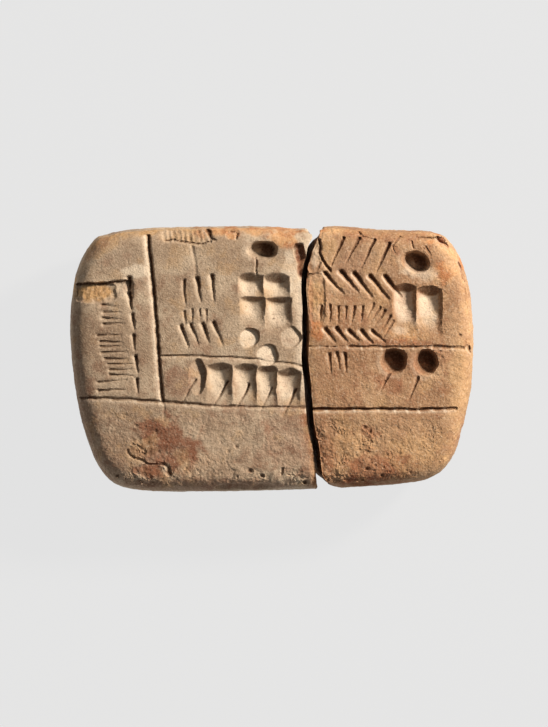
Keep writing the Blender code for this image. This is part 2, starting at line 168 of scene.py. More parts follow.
# Cracks: points, then width and depth at the start and at the end
CRACKS: tuple[tuple[tuple[Place, ...], tuple[float, float], tuple[float, float]], ...] = (
    (((-2.5, 16.9), (-2.4, 15.9), (-2.6, 14.9), (-2.2, 13.8)), (0.42, 0.7), (0.24, 0.4)),
    (((-17.9, 20.1), (-16.0, 19.7), (-13.3, 19.4), (-11.8, 19.4), (-10.3, 19.6)),
     (0.34, 0.50), (0.36, 0.52)),
    (((-11.1, 22.3), (-10.9, 21.6), (-10.5, 20.9), (-10.1, 20.0), (-9.4, 19.6)), (1.15, 0.9), (0.34, 0.3)),
    (((-6.8, 21.4), (-6.0, 21.2), (-5.6, 20.9), (-5.7, 20.3)), (0.40, 0.5), (0.46, 0.5)),
    (((-33.2, 12.4), (-29.0, 12.6), (-23.8, 12.9)), (0.62, 0.8), (0.50, 0.6)),
    (((-24.1, -15.3), (-24.2, -15.9), (-23.8, -16.5), (-23.2, -16.8), (-22.2, -16.9), (-21.6, -17.3),
      (-20.7, -17.7), (-19.5, -17.6)), (0.40, 0.34), (0.44, 0.40)),
    (((-19.5, -17.6), (-18.0, -17.8), (-17.4, -18.4), (-17.3, -19.3)), (0.60, 0.36), (1.10, 0.44)),
    (((-23.1, -14.3), (-21.9, -14.9), (-21.2, -15.5), (-21.1, -16.0)), (0.24, 0.20), (0.24, 0.20)),
    (((7.9, 19.8), (8.1, 18.4), (8.3, 16.5), (9.1, 15.5), (9.8, 14.7)), (0.56, 0.6), (0.44, 0.5)),
    (((1.7, -18.2), (1.7, -19.3)), (0.42, 0.42), (0.34, 0.30)),
    (((2.6, -19.6), (5.0, -19.9), (6.2, -20.3)), (0.20, 0.14), (0.20, 0.14)),
    (((23.4, 19.4), (23.7, 18.4)), (0.30, 0.3), (0.26, 0.3)),
    (((21.4, 20.6), (20.3, 19.1), (20.9, 17.3)), (0.34, 0.40), (0.20, 0.16)),
    (((28.0, 20.5), (28.6, 20.1), (29.8, 19.0)), (0.80, 0.6), (0.80, 0.6)),
    (((31.8, 16.3), (32.2, 15.2), (32.9, 13.0)), (0.74, 0.7), (0.30, 0.4)),
    (((28.6, 11.7), (29.5, 10.9)), (0.20, 0.14), (0.20, 0.12)),
    (((6.0, 14.0), (7.7, 14.1), (9.4, 14.0)), (0.34, 0.40), (0.26, 0.30)),
    (((14.6, 21.6), (15.2, 20.6), (16.6, 20.2)), (0.30, 0.3), (0.24, 0.2)),
    (((24.4, 20.6), (25.6, 20.2), (27.8, 20.4)), (0.26, 0.3), (0.34, 0.4)),
    (((25.8, 18.6), (26.6, 17.4), (26.8, 16.2)), (0.40, 0.24), (0.24, 0.16)),
    (((10.2, -20.6), (13.6, -20.3), (15.8, -20.7)), (0.26, 0.20), (0.20, 0.14)),
    (((32.2, 1.9), (32.9, 2.1), (33.4, 1.8)), (0.24, 0.30), (0.20, 0.30)),
    (((33.3, 1.9), (33.6, 1.3), (33.9, 0.9)), (0.60, 0.60), (0.50, 0.50)),
    (((32.5, 11.6), (32.8, 10.4), (32.4, 9.4), (32.7, 8.6)), (0.24, 0.26), (0.20, 0.16)),
    (((33.0, 12.2), (33.3, 11.0), (33.4, 9.6)), (0.26, 0.30), (0.20, 0.20)),
)

# Pits: places and the pit's radius
PITS: tuple[tuple[float, float, float], ...] = (
    (-23.1, -14.3, 0.30), (-21.2, -15.9, 0.34), (-19.2, -15.7, 0.26), (-22.7, -11.3, 0.30),
    (-25.8, -19.6, 0.34), (-6.0, -14.9, 0.34), (-7.5, -15.7, 0.24), (-8.6, -14.2, 0.20),
    (-3.6, -18.7, 0.42), (-1.7, -19.7, 0.50), (5.6, -20.9, 0.50), (31.4, 4.0, 0.34),
    (28.4, 1.1, 0.28), (30.6, 1.2, 0.22), (28.4, -0.1, 0.22), (15.6, -11.7, 0.40),
    (16.2, -12.2, 0.34), (15.9, -18.6, 0.40), (18.5, -19.8, 0.42), (0.4, 6.9, 0.34), (1.6, 6.6, 0.30),
)

# Rough zones: middle and reach, number of fine pits, and the largest radius
ROUGH_ZONES: tuple[tuple[Place, Place, int, float], ...] = (
    ((-19.0, -15.5), (5.0, 3.6), 40, 0.22), ((-4.0, -14.0), (11.0, 5.0), 30, 0.18),
    ((-8.0, -20.3), (9.0, 1.0), 14, 0.24), ((-22.0, -20.2), (6.0, 1.4), 34, 0.26),
    ((16.0, -14.8), (8.0, 4.5), 70, 0.22),
    ((19.0, -19.0), (8.0, 2.0), 26, 0.24), ((29.0, 2.0), (2.5, 5.0), 16, 0.18),
    ((21.0, 19.5), (7.0, 2.0), 24, 0.20), ((-27.0, -6.0), (3.0, 14.0), 20, 0.15),
)

# Unevenness of the clay: its name, width and depth of the lumps, and the zone it acts on
UNEVENNESS: tuple[tuple[str, float, float, str], ...] = (
    ("hand_shaping", 3.0, 0.16, "skin"), ("worn_edge", 1.5, 0.42, "edge"), ("grain", 0.42, 0.12, "skin"),
    ("coarse_grain", 1.0, 0.40, "rough"), ("broken_lumps", 1.6, 0.28, "broken"),
    ("broken_grain", 0.6, 0.12, "broken"),
)


class Side(Enum):
    """Which side of the break a fragment lies on."""

    LEFT = -1
    RIGHT = 1


# Corners lost beside the break: middle in shares, and the size of the missing piece
NOTCHES: dict[Side, tuple[tuple[Place, Place], ...]] = {
    Side.LEFT: (((0.111, 0.500), (2.4, 3.4)),),
    Side.RIGHT: (((0.099, -0.508), (5.1, 3.7)), ((0.106, 0.502), (1.5, 1.5))),
}


class Tint(Enum):
    """What a patch on the clay is: the name of the mesh attribute that carries it."""

    WORN = "worn"
    OCHRE = "ochre"
    RED = "red"
    # PALE is partly pale clay and partly painted highlights on the lit lips, rims and floors of the marks.
    PALE = "pale"
    # Grime in the marks together with painted shade in holes, grooves, scoops, the gap and on walls turned
    # from the lamp.
    DIRT_AND_SHADE = "dirt_and_shade"


# Patches of colour: kind, middle, half sizes, turn and strength
PATCHES: tuple[tuple[Tint, Place, Place, float, float], ...] = (
    (Tint.WORN, (1.9, 20.1), (2.6, 1.7), -10.0, 1.0),
    (Tint.WORN, (-6.6, 20.8), (1.1, 0.8), 20.0, 0.9),
    (Tint.WORN, (-11.6, 20.9), (1.2, 1.0), 0.0, 0.5),
    (Tint.OCHRE, (-15.2, 20.9), (4.6, 1.6), -4.0, 0.45),
    (Tint.PALE, (-17.6, 21.0), (1.2, 0.9), 0.0, 0.4),
    (Tint.OCHRE, (-28.0, 18.6), (3.4, 1.4), 32.0, 0.6),
    (Tint.OCHRE, (-29.8, 11.1), (3.6, 1.5), 0.0, 1.0),
    (Tint.WORN, (-20.4, -19.0), (2.6, 0.9), -6.0, 0.6),
    (Tint.WORN, (-13.5, -17.5), (4.5, 2.2), 15.0, 0.3),
    (Tint.PALE, (-22.6, 14.6), (2.4, 1.4), 0.0, 0.95),
    (Tint.PALE, (-25.0, 16.4), (6.0, 3.2), 0.0, 0.24),
    (Tint.PALE, (-24.8, 11.4), (1.5, 1.4), 0.0, 0.5),
    (Tint.PALE, (2.9, 14.5), (1.2, 4.0), 0.0, 0.7),
    (Tint.PALE, (-3.9, 18.6), (1.3, 1.8), 0.0, 0.4),
    (Tint.RED, (-18.2, -13.4), (5.0, 3.8), -20.0, 0.84),
    (Tint.RED, (-15.8, -15.6), (4.6, 3.2), 20.0, 0.80),
    (Tint.RED, (-20.6, -16.2), (3.4, 1.2), -14.0, 0.60),
    (Tint.WORN, (-20.0, -18.8), (2.2, 0.9), -6.0, 0.8),
    (Tint.RED, (-10.0, -14.0), (15.0, 7.5), 0.0, 0.24),
    (Tint.RED, (2.2, -14.0), (5.4, 6.4), 0.0, 0.48),
    (Tint.RED, (-12.0, -21.6), (20.0, 1.7), -1.0, 0.48),
    # Next two: painted warm shade on the left and lower-left edges, which are turned from the lamp.
    (Tint.RED, (-31.2, -8.0), (2.4, 11.0), 12.0, 0.34),
    (Tint.RED, (-27.4, -17.4), (2.6, 5.4), 46.0, 0.42),
    (Tint.RED, (-26.0, -12.0), (6.0, 6.0), 0.0, 0.26),
    (Tint.RED, (-30.0, 19.0), (4.0, 2.0), 34.0, 0.45),
    (Tint.RED, (-15.6, -4.0), (3.4, 3.4), 0.0, 0.52),
    (Tint.DIRT_AND_SHADE, (5.2, 16.4), (0.7, 2.6), 9.0, 0.45),
    # Next two: darker along the left edge and in the lower-left corner, partly painted shade where the edge
    # turns from the lamp.
    (Tint.DIRT_AND_SHADE, (-30.6, -3.0), (5.4, 14.0), 6.0, 0.30),
    (Tint.DIRT_AND_SHADE, (-28.4, -13.0), (5.0, 8.0), 20.0, 0.16),
    (Tint.RED, (-20.3, -18.9), (3.4, 1.5), -6.0, 0.75),
    (Tint.RED, (-12.0, 20.9), (1.4, 1.0), 0.0, 0.6),
    (Tint.RED, (-12.5, -9.8), (4.0, 1.6), -30.0, 0.3),
    (Tint.RED, (5.6, -14.5), (1.8, 6.5), 4.0, 0.5),
    (Tint.RED, (-7.0, -9.2), (5.5, 1.1), 0.0, 0.35),
    (Tint.RED, (5.0, 16.2), (0.9, 3.2), 9.0, 1.0),
    (Tint.RED, (6.5, 9.0), (0.5, 5.0), 0.0, 0.5),
    (Tint.OCHRE, (7.4, 10.4), (1.5, 2.4), 0.0, 0.9),
    (Tint.WORN, (7.5, 4.6), (1.3, 1.8), 0.0, 0.9),
    (Tint.PALE, (7.4, 17.4), (1.0, 2.6), 0.0, 0.5),
    (Tint.PALE, (14.0, 15.0), (8.0, 5.0), 0.0, 0.20),
    (Tint.PALE, (24.6, 14.6), (3.6, 1.5), -20.0, 0.55),
    (Tint.OCHRE, (9.4, 17.5), (1.6, 3.0), 0.0, 0.5),
    (Tint.WORN, (28.9, 14.4), (2.0, 1.8), 30.0, 0.9),
    (Tint.WORN, (26.4, 19.7), (0.9, 0.5), 10.0, 0.9),
    (Tint.RED, (29.0, 14.0), (1.2, 1.4), 30.0, 0.25),
    (Tint.RED, (19.5, 20.9), (8.0, 1.6), -3.0, 0.45),
    (Tint.DIRT_AND_SHADE, (18.6, 20.9), (6.0, 1.5), -3.0, 0.26),
    (Tint.RED, (29.0, 19.8), (1.6, 0.7), -40.0, 1.0),
    (Tint.RED, (32.4, 14.7), (0.55, 1.9), 16.0, 1.0),
    (Tint.DIRT_AND_SHADE, (31.9, 15.8), (0.5, 0.8), 16.0, 0.6),
    (Tint.RED, (13.0, 14.6), (3.0, 3.4), 0.0, 0.22),
    (Tint.OCHRE, (12.0, -18.0), (3.0, 1.4), 8.0, 0.4),
    (Tint.RED, (18.0, -18.2), (6.6, 2.8), 4.0, 0.62),
    (Tint.DIRT_AND_SHADE, (17.4, -18.4), (6.0, 2.2), 4.0, 0.16),
    (Tint.WORN, (22.0, 3.9), (3.6, 1.3), -8.0, 0.55),
    (Tint.PALE, (21.4, 4.8), (1.6, 0.9), -10.0, 0.5),
    (Tint.RED, (20.5, 2.6), (7.5, 0.7), 0.0, 0.5),
    (Tint.RED, (14.4, -20.6), (3.0, 1.1), 5.0, 0.85),
    (Tint.RED, (9.6, -16.4), (1.6, 4.2), 12.0, 0.4),
    (Tint.RED, (16.4, -12.4), (2.0, 1.2), -30.0, 0.55),
    (Tint.RED, (19.6, -4.2), (3.0, 1.8), -20.0, 0.5),
    (Tint.RED, (11.4, 6.0), (2.0, 3.0), 0.0, 0.35),
    (Tint.PALE, (23.6, 6.6), (2.4, 1.4), -30.0, 0.4),
    (Tint.RED, (29.2, 0.6), (1.6, 1.2), 0.0, 0.4),
    (Tint.OCHRE, (31.6, -4.0), (2.2, 8.0), 0.0, 0.5),
    (Tint.OCHRE, (24.0, -16.0), (6.0, 3.6), 20.0, 0.5),
    (Tint.OCHRE, (14.0, -14.6), (5.0, 3.0), 0.0, 0.4),
)


def to_metres(place: Place) -> Place:
    """A place given in millimetres, in metres."""
    return (place[0] * MM, place[1] * MM)


def smooth(value: Array) -> Array:
    """An eased step from 0 to 1, clipped at both ends."""
    share = np.clip(value, 0.0, 1.0)
    return share * share * (3.0 - 2.0 * share)


def ramp(value: Array, start: float, run: float) -> Array:
    """An eased step from 0 to 1 over a run of millimetres from a start in millimetres."""
    return smooth((value - start * MM) / (run * MM))


def spline(points: tuple[Place, ...], steps: int, closed: bool) -> Array:
    """Points of a smooth curve that runs through the given points.

    Args:
        points: The points that the curve passes.
        steps: How many points each span gets.
        closed: Whether the curve returns to its start.

    Returns:
        The curve's points, one row each.
    """
    given = np.array(points, float)
    if closed:
        before, after, last = np.roll(given, 1, 0), np.roll(given, -1, 0), np.roll(given, -2, 0)
        start = given
    else:
        start, after = given[:-1], given[1:]
        before = np.vstack([given[:1], given[:-2]])
        last = np.vstack([given[2:], given[-1:]])
    share = (np.arange(steps) / steps)[None, :, None]
    first, second, third, fourth = (row[:, None, :] for row in (before, start, after, last))
    curve = 0.5 * (
        2 * second + (third - first) * share + (2 * first - 5 * second + 4 * third - fourth) * share ** 2
        + (3 * second - first - 3 * third + fourth) * share ** 3)
    curve = curve.reshape(-1, 2)
    return curve if closed else np.vstack([curve, given[-1:]])


class Grit:
    """Seeded smooth noise over the plane, from a table of random slopes."""

    CELLS = 128
    START = (17.3, 41.9)
    CONTRAST = 0.85

    def __init__(self, seed: int) -> None:
        """Draws the table of slopes for one seed."""
        turn = np.random.default_rng(seed).random((self.CELLS, self.CELLS)) * math.tau
        self.across, self.up = np.cos(turn), np.sin(turn)

    def at(self, x: Array, y: Array, size: float) -> Array:
        """Noise from 0 to 1 whose lumps are about size across.

        Args:
            x: Places along the tablet.
            y: Places across the tablet.
            size: Width of a lump.

        Returns:
            The noise at every place.
        """
        column, row = x / size + self.START[0], y / size + self.START[1]
        left, low = np.floor(column).astype(int), np.floor(row).astype(int)
        right_of, above = column - left, row - low
        across, up = smooth(right_of), smooth(above)
        total = np.zeros_like(x)
        for i, j in ((0, 0), (1, 0), (0, 1), (1, 1)):
            cell = (low + j) % self.CELLS, (left + i) % self.CELLS
            slope = self.across[cell] * (right_of - i) + self.up[cell] * (above - j)
            total += slope * (across if i else 1 - across) * (up if j else 1 - up)
        return np.clip(0.5 + self.CONTRAST * total, 0.0, 1.0)

    def layered(self, x: Array, y: Array, size: float) -> Array:
        """Noise from 0 to 1 in three layers, each half the size of the last."""
        return (self.at(x, y, size) * 4 + self.at(y, x, size / 2) * 2 + self.at(x + y, y - x, size / 4)) / 7


@dataclass(frozen=True)
class ClayBody:
    """The uncut clay: its outline, its domed face and the section of its edge."""

    length: float = 0.0685
    width: float = 0.0453
    thickness: float = 0.016
    belly: float = 0.0075
    edge_run: float = 0.005
    back_run: float = 0.0075
    squareness: float = 3.4
    dome: float = 0.0006
    steps: int = 96
    halvings: int = 26

    def outline(self) -> Array:
        """The outline's points, filling the length and the width exactly.

        Returns:
            The points, one row each.
        """
        curve = spline(OUTLINE, self.steps, closed=True)
        low, high = curve.min(0), curve.max(0)
        return ((curve - low) / (high - low) - 0.5) * (self.length, self.width)

    def drawn_in(self, x: Array, y: Array, inset: Array | float) -> tuple[Array, Array]:
        """Places drawn in toward both axes by inset."""
        return x * (1 - 2 * inset / self.length), y * (1 - 2 * inset / self.width)

    def face_height(self, x: Array, y: Array) -> Array:
        """Height of the gently domed face."""
        return self.thickness - self.dome * ((2 * x / self.length) ** 2 + (2 * y / self.width) ** 2)

    def rise(self, inset: Array | float) -> Array | float:
        """Share of the height from the belly to the face that the edge has at an inset."""
        out = np.clip(1 - inset / self.edge_run, 0.0, 1.0)
        return (1 - out ** self.squareness) ** (1 / self.squareness)

    def inset(self, x: Array, y: Array, most: float) -> Array:
        """How far each place lies inside the outline, measured as drawn_in does.

        Args:
            x: Places along the tablet.
            y: Places across the tablet.
            most: The largest inset that matters.

        Returns:
            The inset at every place, up to most.
        """
        rim = self.outline()
        turn = np.arctan2(rim[:, 1], rim[:, 0])
        reach = np.hypot(rim[:, 0], rim[:, 1])
        low, high = np.zeros_like(x), np.full_like(x, most)
        for _ in range(self.halvings):
            middle = (low + high) / 2
            out_x = x / (1 - 2 * middle / self.length)
            out_y = y / (1 - 2 * middle / self.width)
            edge = np.interp(np.arctan2(out_y, out_x), turn, reach, period=math.tau)
            inside = np.hypot(out_x, out_y) < edge
            low, high = np.where(inside, middle, low), np.where(inside, high, middle)
        return (low + high) / 2

    def surface(self, x: Array, y: Array) -> Array:
        """Height of the uncut clay over each place, above its widest line.

        Args:
            x: Places along the tablet.
            y: Places across the tablet.

        Returns:
            The height at every place.
        """
        inset = self.inset(x, y, self.edge_run)
        rim_x, rim_y = self.drawn_in(
            x / (1 - 2 * inset / self.length), y / (1 - 2 * inset / self.width), self.edge_run)
        edge = self.belly + (self.face_height(rim_x, rim_y) - self.belly) * self.rise(inset)
        return np.where(inset > self.edge_run * 0.9999, self.face_height(x, y), edge)


@dataclass(frozen=True)
class BreakSurface:
    """The broken surface between the fragments."""

    body: ClayBody
    gap: float = 0.00075
    mouth: float = 0.001
    mouth_depth: float = 0.003
    lean: float = 0.0012
    upright_from: float = 0.0199
    upright_over: float = 0.0014
    wave: float = 0.0001
    waves: tuple[Place, ...] = ((37.0, 450.0), (17.0, -750.0))
    steps: int = 24

    def middle(self, y: Array, height: Array) -> Array:
        """Where the break runs along X at each place across the tablet and height.

        Args:
            y: Places across the tablet.
            height: Heights above the floor.

        Returns:
            The middle of the break at every place.
        """
        curve = spline(BREAK_LINE, self.steps, closed=False)
        run = np.linspace(0.0, 1.0, len(curve))
        rows = curve[:, 1] * self.body.width
        along = np.interp(-y, -rows, run)
        x = np.interp(-y, -rows, curve[:, 0]) * self.body.length
        depth = self.body.thickness - height
        wave = sum(np.sin(along * run + depth * down) for run, down in self.waves)
        lean = self.lean * (1 - smooth((y - self.upright_from) / self.upright_over))
        return x - lean * depth / self.body.thickness + self.wave * wave

    def half_gap(self, height: Array) -> Array:
        """Half the width of the break at each height."""
        near = np.maximum(0.0, 1 - (self.body.thickness - height) / self.mouth_depth)
        return (self.gap + (self.mouth - self.gap) * near) / 2

    def clearance(self, side: Side, x: Array, y: Array, height: Array) -> Array:
        """How far each place lies from the broken face, on the fragment's own side."""
        return side.value * (x - self.middle(y, height)) - self.half_gap(height)


@dataclass
class Sheet:
    """Places on the face, and what the marks, the damage and the wear do to each of them."""

    x: Array
    y: Array
    cut: Array = field(init=False)
    rise: Array = field(init=False)
    rough: Array = field(init=False)
    tints: dict[Tint, Array] = field(init=False)

    def __post_init__(self) -> None:
        """Starts from smooth clean clay."""
        self.cut = np.zeros_like(self.x)
        self.rise = np.zeros_like(self.x)
        self.rough = np.zeros_like(self.x)
        self.tints = {tint: np.zeros_like(self.x) for tint in Tint}

    def near(self, places: tuple[Place, ...], margin: float) -> Array:
        """Indices of the points within margin of the box round some places.

        Args:
            places: The places that the box holds.
            margin: How far the box is widened.

        Returns:
            The indices.
        """
        low_x, high_x = min(p[0] for p in places) - margin, max(p[0] for p in places) + margin
        low_y, high_y = min(p[1] for p in places) - margin, max(p[1] for p in places) + margin
        return np.nonzero((self.x > low_x) & (self.x < high_x) & (self.y > low_y) & (self.y < high_y))[0]

    def deepen(self, spots: Array, depth: Array) -> None:
        """Cuts the clay to a depth where it isn't cut deeper already."""
        self.cut[spots] = np.maximum(self.cut[spots], depth)

    def tint(self, kind: Tint, spots: Array, amount: Array) -> None:
        """Raises one tint to an amount where it isn't stronger already."""
        self.tints[kind][spots] = np.maximum(self.tints[kind][spots], amount)


# Where the studio's key light stands, as a turn and as a direction in plan; the marks also use it to place
# their painted shade and painted highlights
KEY_TURN = math.radians(33)
LIT_FROM: Place = (math.cos(KEY_TURN), math.sin(KEY_TURN))


@dataclass(frozen=True)
class Groove:
    """A groove drawn through soft clay with a reed that leans away from the light."""

    start: Place
    end: Place
    start_size: tuple[float, float]
    end_size: tuple[float, float]
    lean: float = 1.0
    shoulder: float = 0.00045
    press_down: float = 0.0001
    dirt_and_shade: float = 0.8
    pale: float = 1.0
    adds: bool = False
    margin: float = 0.0024
    full_depth: float = 0.0005
    strongest: float = 1.2
    narrowed: float = 0.85
    section: float = 0.9

    def press(self, sheet: Sheet) -> None:
        """Cuts the groove, paints shade at its foot and a pale highlight on its lit lip.

        Args:
            sheet: The places of the face and their tints, which the mark changes.
        """
        spots = sheet.near((self.start, self.end), self.margin)
        if not len(spots):
            return
        x, y = sheet.x[spots], sheet.y[spots]
        run_x, run_y = self.end[0] - self.start[0], self.end[1] - self.start[1]
        share = ((x - self.start[0]) * run_x + (y - self.start[1]) * run_y) / (run_x ** 2 + run_y ** 2)
        share = np.clip(share, 0.0, 1.0)
        off_x = x - self.start[0] - share * run_x
        off_y = y - self.start[1] - share * run_y
        away = np.hypot(off_x, off_y)
        half = (self.start_size[0] + (self.end_size[0] - self.start_size[0]) * share) * MM / 2
        deep = (self.start_size[1] + (self.end_size[1] - self.start_size[1]) * share) * MM
        toward = (off_x * LIT_FROM[0] + off_y * LIT_FROM[1]) / np.maximum(away, 1e-9)
        lit = np.clip(-toward, 0.0, 1.0)
        reach = half * (self.narrowed + self.lean * lit)
        core = np.clip(1 - away / reach, 0.0, 1.0)
        beside = np.exp(-(np.maximum(away - reach, 0.0) / self.shoulder) ** 2)
        weight = np.clip(deep / self.full_depth, 0.0, self.strongest)
        depth = deep * core ** self.section + self.press_down * beside * weight * (0.4 + lit)
        if self.adds:
            sheet.cut[spots] += depth
        else:
            sheet.deepen(spots, depth)
        # Painted shade at the foot of the groove, partly grime, reaching further up the wall turned from the
        # lamp.
        sheet.tint(Tint.DIRT_AND_SHADE, spots, self.dirt_and_shade * weight * smooth((core - 0.30 - 0.25 * lit) * 2.6))
        # Painted highlight on the lip on the lit side.
        lip = lit * beside * (1 - smooth(core * 1.6))
        sheet.tint(Tint.PALE, spots, self.pale * 0.8 * weight * lip)


@dataclass(frozen=True)
class RoundHole:
    """A deep round impression of the end of a reed."""

    middle: Place
    size: tuple[float, float]
    turn: float
    depth: float = 0.0024
    taper: float = 0.60
    undercut: float = 0.22
    mouth_drop: float = 0.0001
    mouth_reach: float = 0.22

    def press(self, sheet: Sheet) -> None:
        """Cuts the hole, steeper on the side by the light, rounds its mouth, paints shade inside it, and
        paints a pale highlight on its far rim, which faces the lamp.

        Args:
            sheet: The places of the face and their tints, which the mark changes.
        """
        spots = sheet.near((self.middle,), 2 * max(self.size))
        x, y = sheet.x[spots] - self.middle[0], sheet.y[spots] - self.middle[1]
        cos, sin = math.cos(self.turn), math.sin(self.turn)
        away = np.hypot((x * cos + y * sin) / self.size[0] * 2, (y * cos - x * sin) / self.size[1] * 2)
        toward = (x * LIT_FROM[0] + y * LIT_FROM[1]) / np.maximum(np.hypot(x, y), 1e-9)
        taper = self.taper + self.undercut * toward
        floor = 1 - smooth((away - taper) / (1.05 - taper))
        mouth = np.exp(-(np.maximum(away - 1.0, 0.0) / self.mouth_reach) ** 2)
        sheet.deepen(spots, self.depth * floor * (1 - 0.12 * away ** 2) + self.mouth_drop * mouth)
        # Painted shade inside the hole, partly grime, darkest on the wall by the light.
        sheet.tint(Tint.DIRT_AND_SHADE, spots, smooth((0.98 - away) / 0.3) * (0.62 + 0.25 * toward))
        # Painted highlight on the rim away from the light, whose wall faces the lamp.
        sheet.tint(Tint.PALE, spots, (0.18 - 0.18 * toward) * np.exp(-((away - 1.2) / 0.25) ** 2))


@dataclass(frozen=True)
class Scoop:
    """A slanting round impression: deep at its top end, running out at its foot."""

    middle: Place
    width: float
    length: float
    depth: float
    wall: float = 1.05
    hollow: float = 0.72
    run_out: float = 1.15
    edge_round: float = 4.0
    painted_top_shade: float = 0.50
    painted_right_shade: float = 0.42
    painted_floor_highlight: float = 0.72

    def press(self, sheet: Sheet) -> None:
        """Cuts the trough, paints shade on its top and right walls, which are turned from the lamp, and
        paints a pale highlight on its lit floor.

        Args:
            sheet: The places of the face and their tints, which the mark changes.
        """
        spots = sheet.near((self.middle,), self.length + MM)
        across, along = sheet.x[spots] - self.middle[0], self.middle[1] - sheet.y[spots]
        radius = self.width / 2
        off = np.minimum(np.abs(across) / (radius * 1.03), 1.0)
        section = self.hollow * (1 - off ** 2) + (1 - self.hollow) * (1 - off ** 5)
        left = np.clip(1 - (along + 0.3 * MM) / (self.length * 1.12), 0.0, 1.0)
        trough = 1.08 * self.depth * left ** self.run_out * section + 1e-7
        head = np.maximum(along + (0.95 - 0.55 * off ** 2) * MM, 0.0) * self.wall + 1e-7
        depth = (trough ** -self.edge_round + head ** -self.edge_round) ** (-1 / self.edge_round)
        sheet.deepen(spots, depth)
        cut = ramp(depth, 0.0, 0.3)
        top_wall = cut * ramp(trough - head, -0.1, 0.35)
        right_wall = cut * smooth((across / radius - 0.40) / 0.5)
        # Painted shade on the top wall and the right wall, which are turned from the lamp.
        sheet.tint(Tint.DIRT_AND_SHADE, spots, np.maximum(self.painted_top_shade * top_wall, self.painted_right_shade * right_wall))
        # Painted highlight on the floor that the lamp reaches, kept off the shaded walls.
        floor = ramp(depth, 0.0, 0.8) * (1 - 0.6 * off ** 3)
        sheet.tint(Tint.PALE, spots, self.painted_floor_highlight * floor * (1 - top_wall) * (1 - 0.9 * right_wall))


@dataclass(frozen=True)
class Disc:
    """A shallow round impression, deeper toward the upper right."""

    middle: Place
    size: Place
    depth: float
    pale: float
    uphill: Place = (0.88, 0.47)
    painted_foot_shade: float = 0.55

    def press(self, sheet: Sheet) -> None:
        """Cuts the tilted flat with a soft wall by the light, pales it, partly as painted light on its
        floor, and paints shade at the foot of its deep wall.

        Args:
            sheet: The places of the face and their tints, which the mark changes.
        """
        spots = sheet.near((self.middle,), max(self.size))
        x, y = sheet.x[spots] - self.middle[0], sheet.y[spots] - self.middle[1]
        away = np.hypot(x / self.size[0], y / self.size[1]) * 2
        toward = (x * LIT_FROM[0] + y * LIT_FROM[1]) / np.maximum(np.hypot(x, y), 1e-9)
        tilt = 0.5 + x / self.size[0] * self.uphill[0] + y / self.size[1] * self.uphill[1]
        inside = 1 - smooth((away - 0.92) / (0.10 + 0.14 * np.maximum(toward, 0.0)))
        sheet.deepen(spots, self.depth * inside * np.clip(tilt, 0.0, 1.0))
        # Pale floor, partly pale clay and partly painted light on the floor that tilts toward the lamp.
        sheet.tint(Tint.PALE, spots, self.pale * (1 - smooth((away - 0.86) / 0.1)))
        # Painted shade at the foot of the deep wall, which is turned from the lamp.
        foot = smooth((tilt - 0.65) / 0.3) * np.exp(-((away - 1.02) / 0.12) ** 2)
        sheet.tint(Tint.DIRT_AND_SHADE, spots, self.painted_foot_shade * foot)


@dataclass(frozen=True)
class Recess:
    """A flat piece lost from the face: a steep upper side and a rough floor."""

    middle: Place
    half_size: Place
    turn: float
    depth: float
    floor_tilt: float
    roughness: float
    grit: Grit
    squareness: float = 4.0
    raggedness: float = 0.3
    ragged_size: float = 0.0016
    lump_size: float = 0.0009
    painted_foot_shade: float = 0.65

    def press(self, sheet: Sheet) -> None:
        """Cuts the recess and paints shade at the foot of its upper side, which is turned from the lamp.

        Args:
            sheet: The places of the face and their tints, which the mark changes.
        """
        spots = sheet.near((self.middle,), 2 * max(self.half_size))
        x, y = sheet.x[spots] - self.middle[0], sheet.y[spots] - self.middle[1]
        noise = self.grit.layered(sheet.x[spots], sheet.y[spots], self.ragged_size)
        ragged = (noise - 0.5) * self.raggedness
        cos, sin = math.cos(self.turn), math.sin(self.turn)
        across, up = (x * cos + y * sin) / self.half_size[0], (y * cos - x * sin) / self.half_size[1]
        power = self.squareness
        away = (np.abs(across) ** power + np.abs(up) ** power) ** (1 / power) + ragged * (2.4 / power)
        inside = 1 - smooth((away - 0.88) / 0.2)
        lumps = self.grit.layered(sheet.x[spots] * 1.3, sheet.y[spots], self.lump_size) - 0.5
        floor = self.depth * (1 - self.floor_tilt * (1 - np.clip(up, -1.0, 1.0)) / 2)
        sheet.deepen(spots, np.maximum(0.0, inside * (floor + self.roughness * lumps)))
        # Painted shade at the foot of the upper side.
        foot = inside * np.exp(-((up - 0.9) / 0.25) ** 2) * (self.depth / (0.8 * MM))
        sheet.tint(Tint.DIRT_AND_SHADE, spots, np.clip(self.painted_foot_shade * foot, 0.0, 1.0))


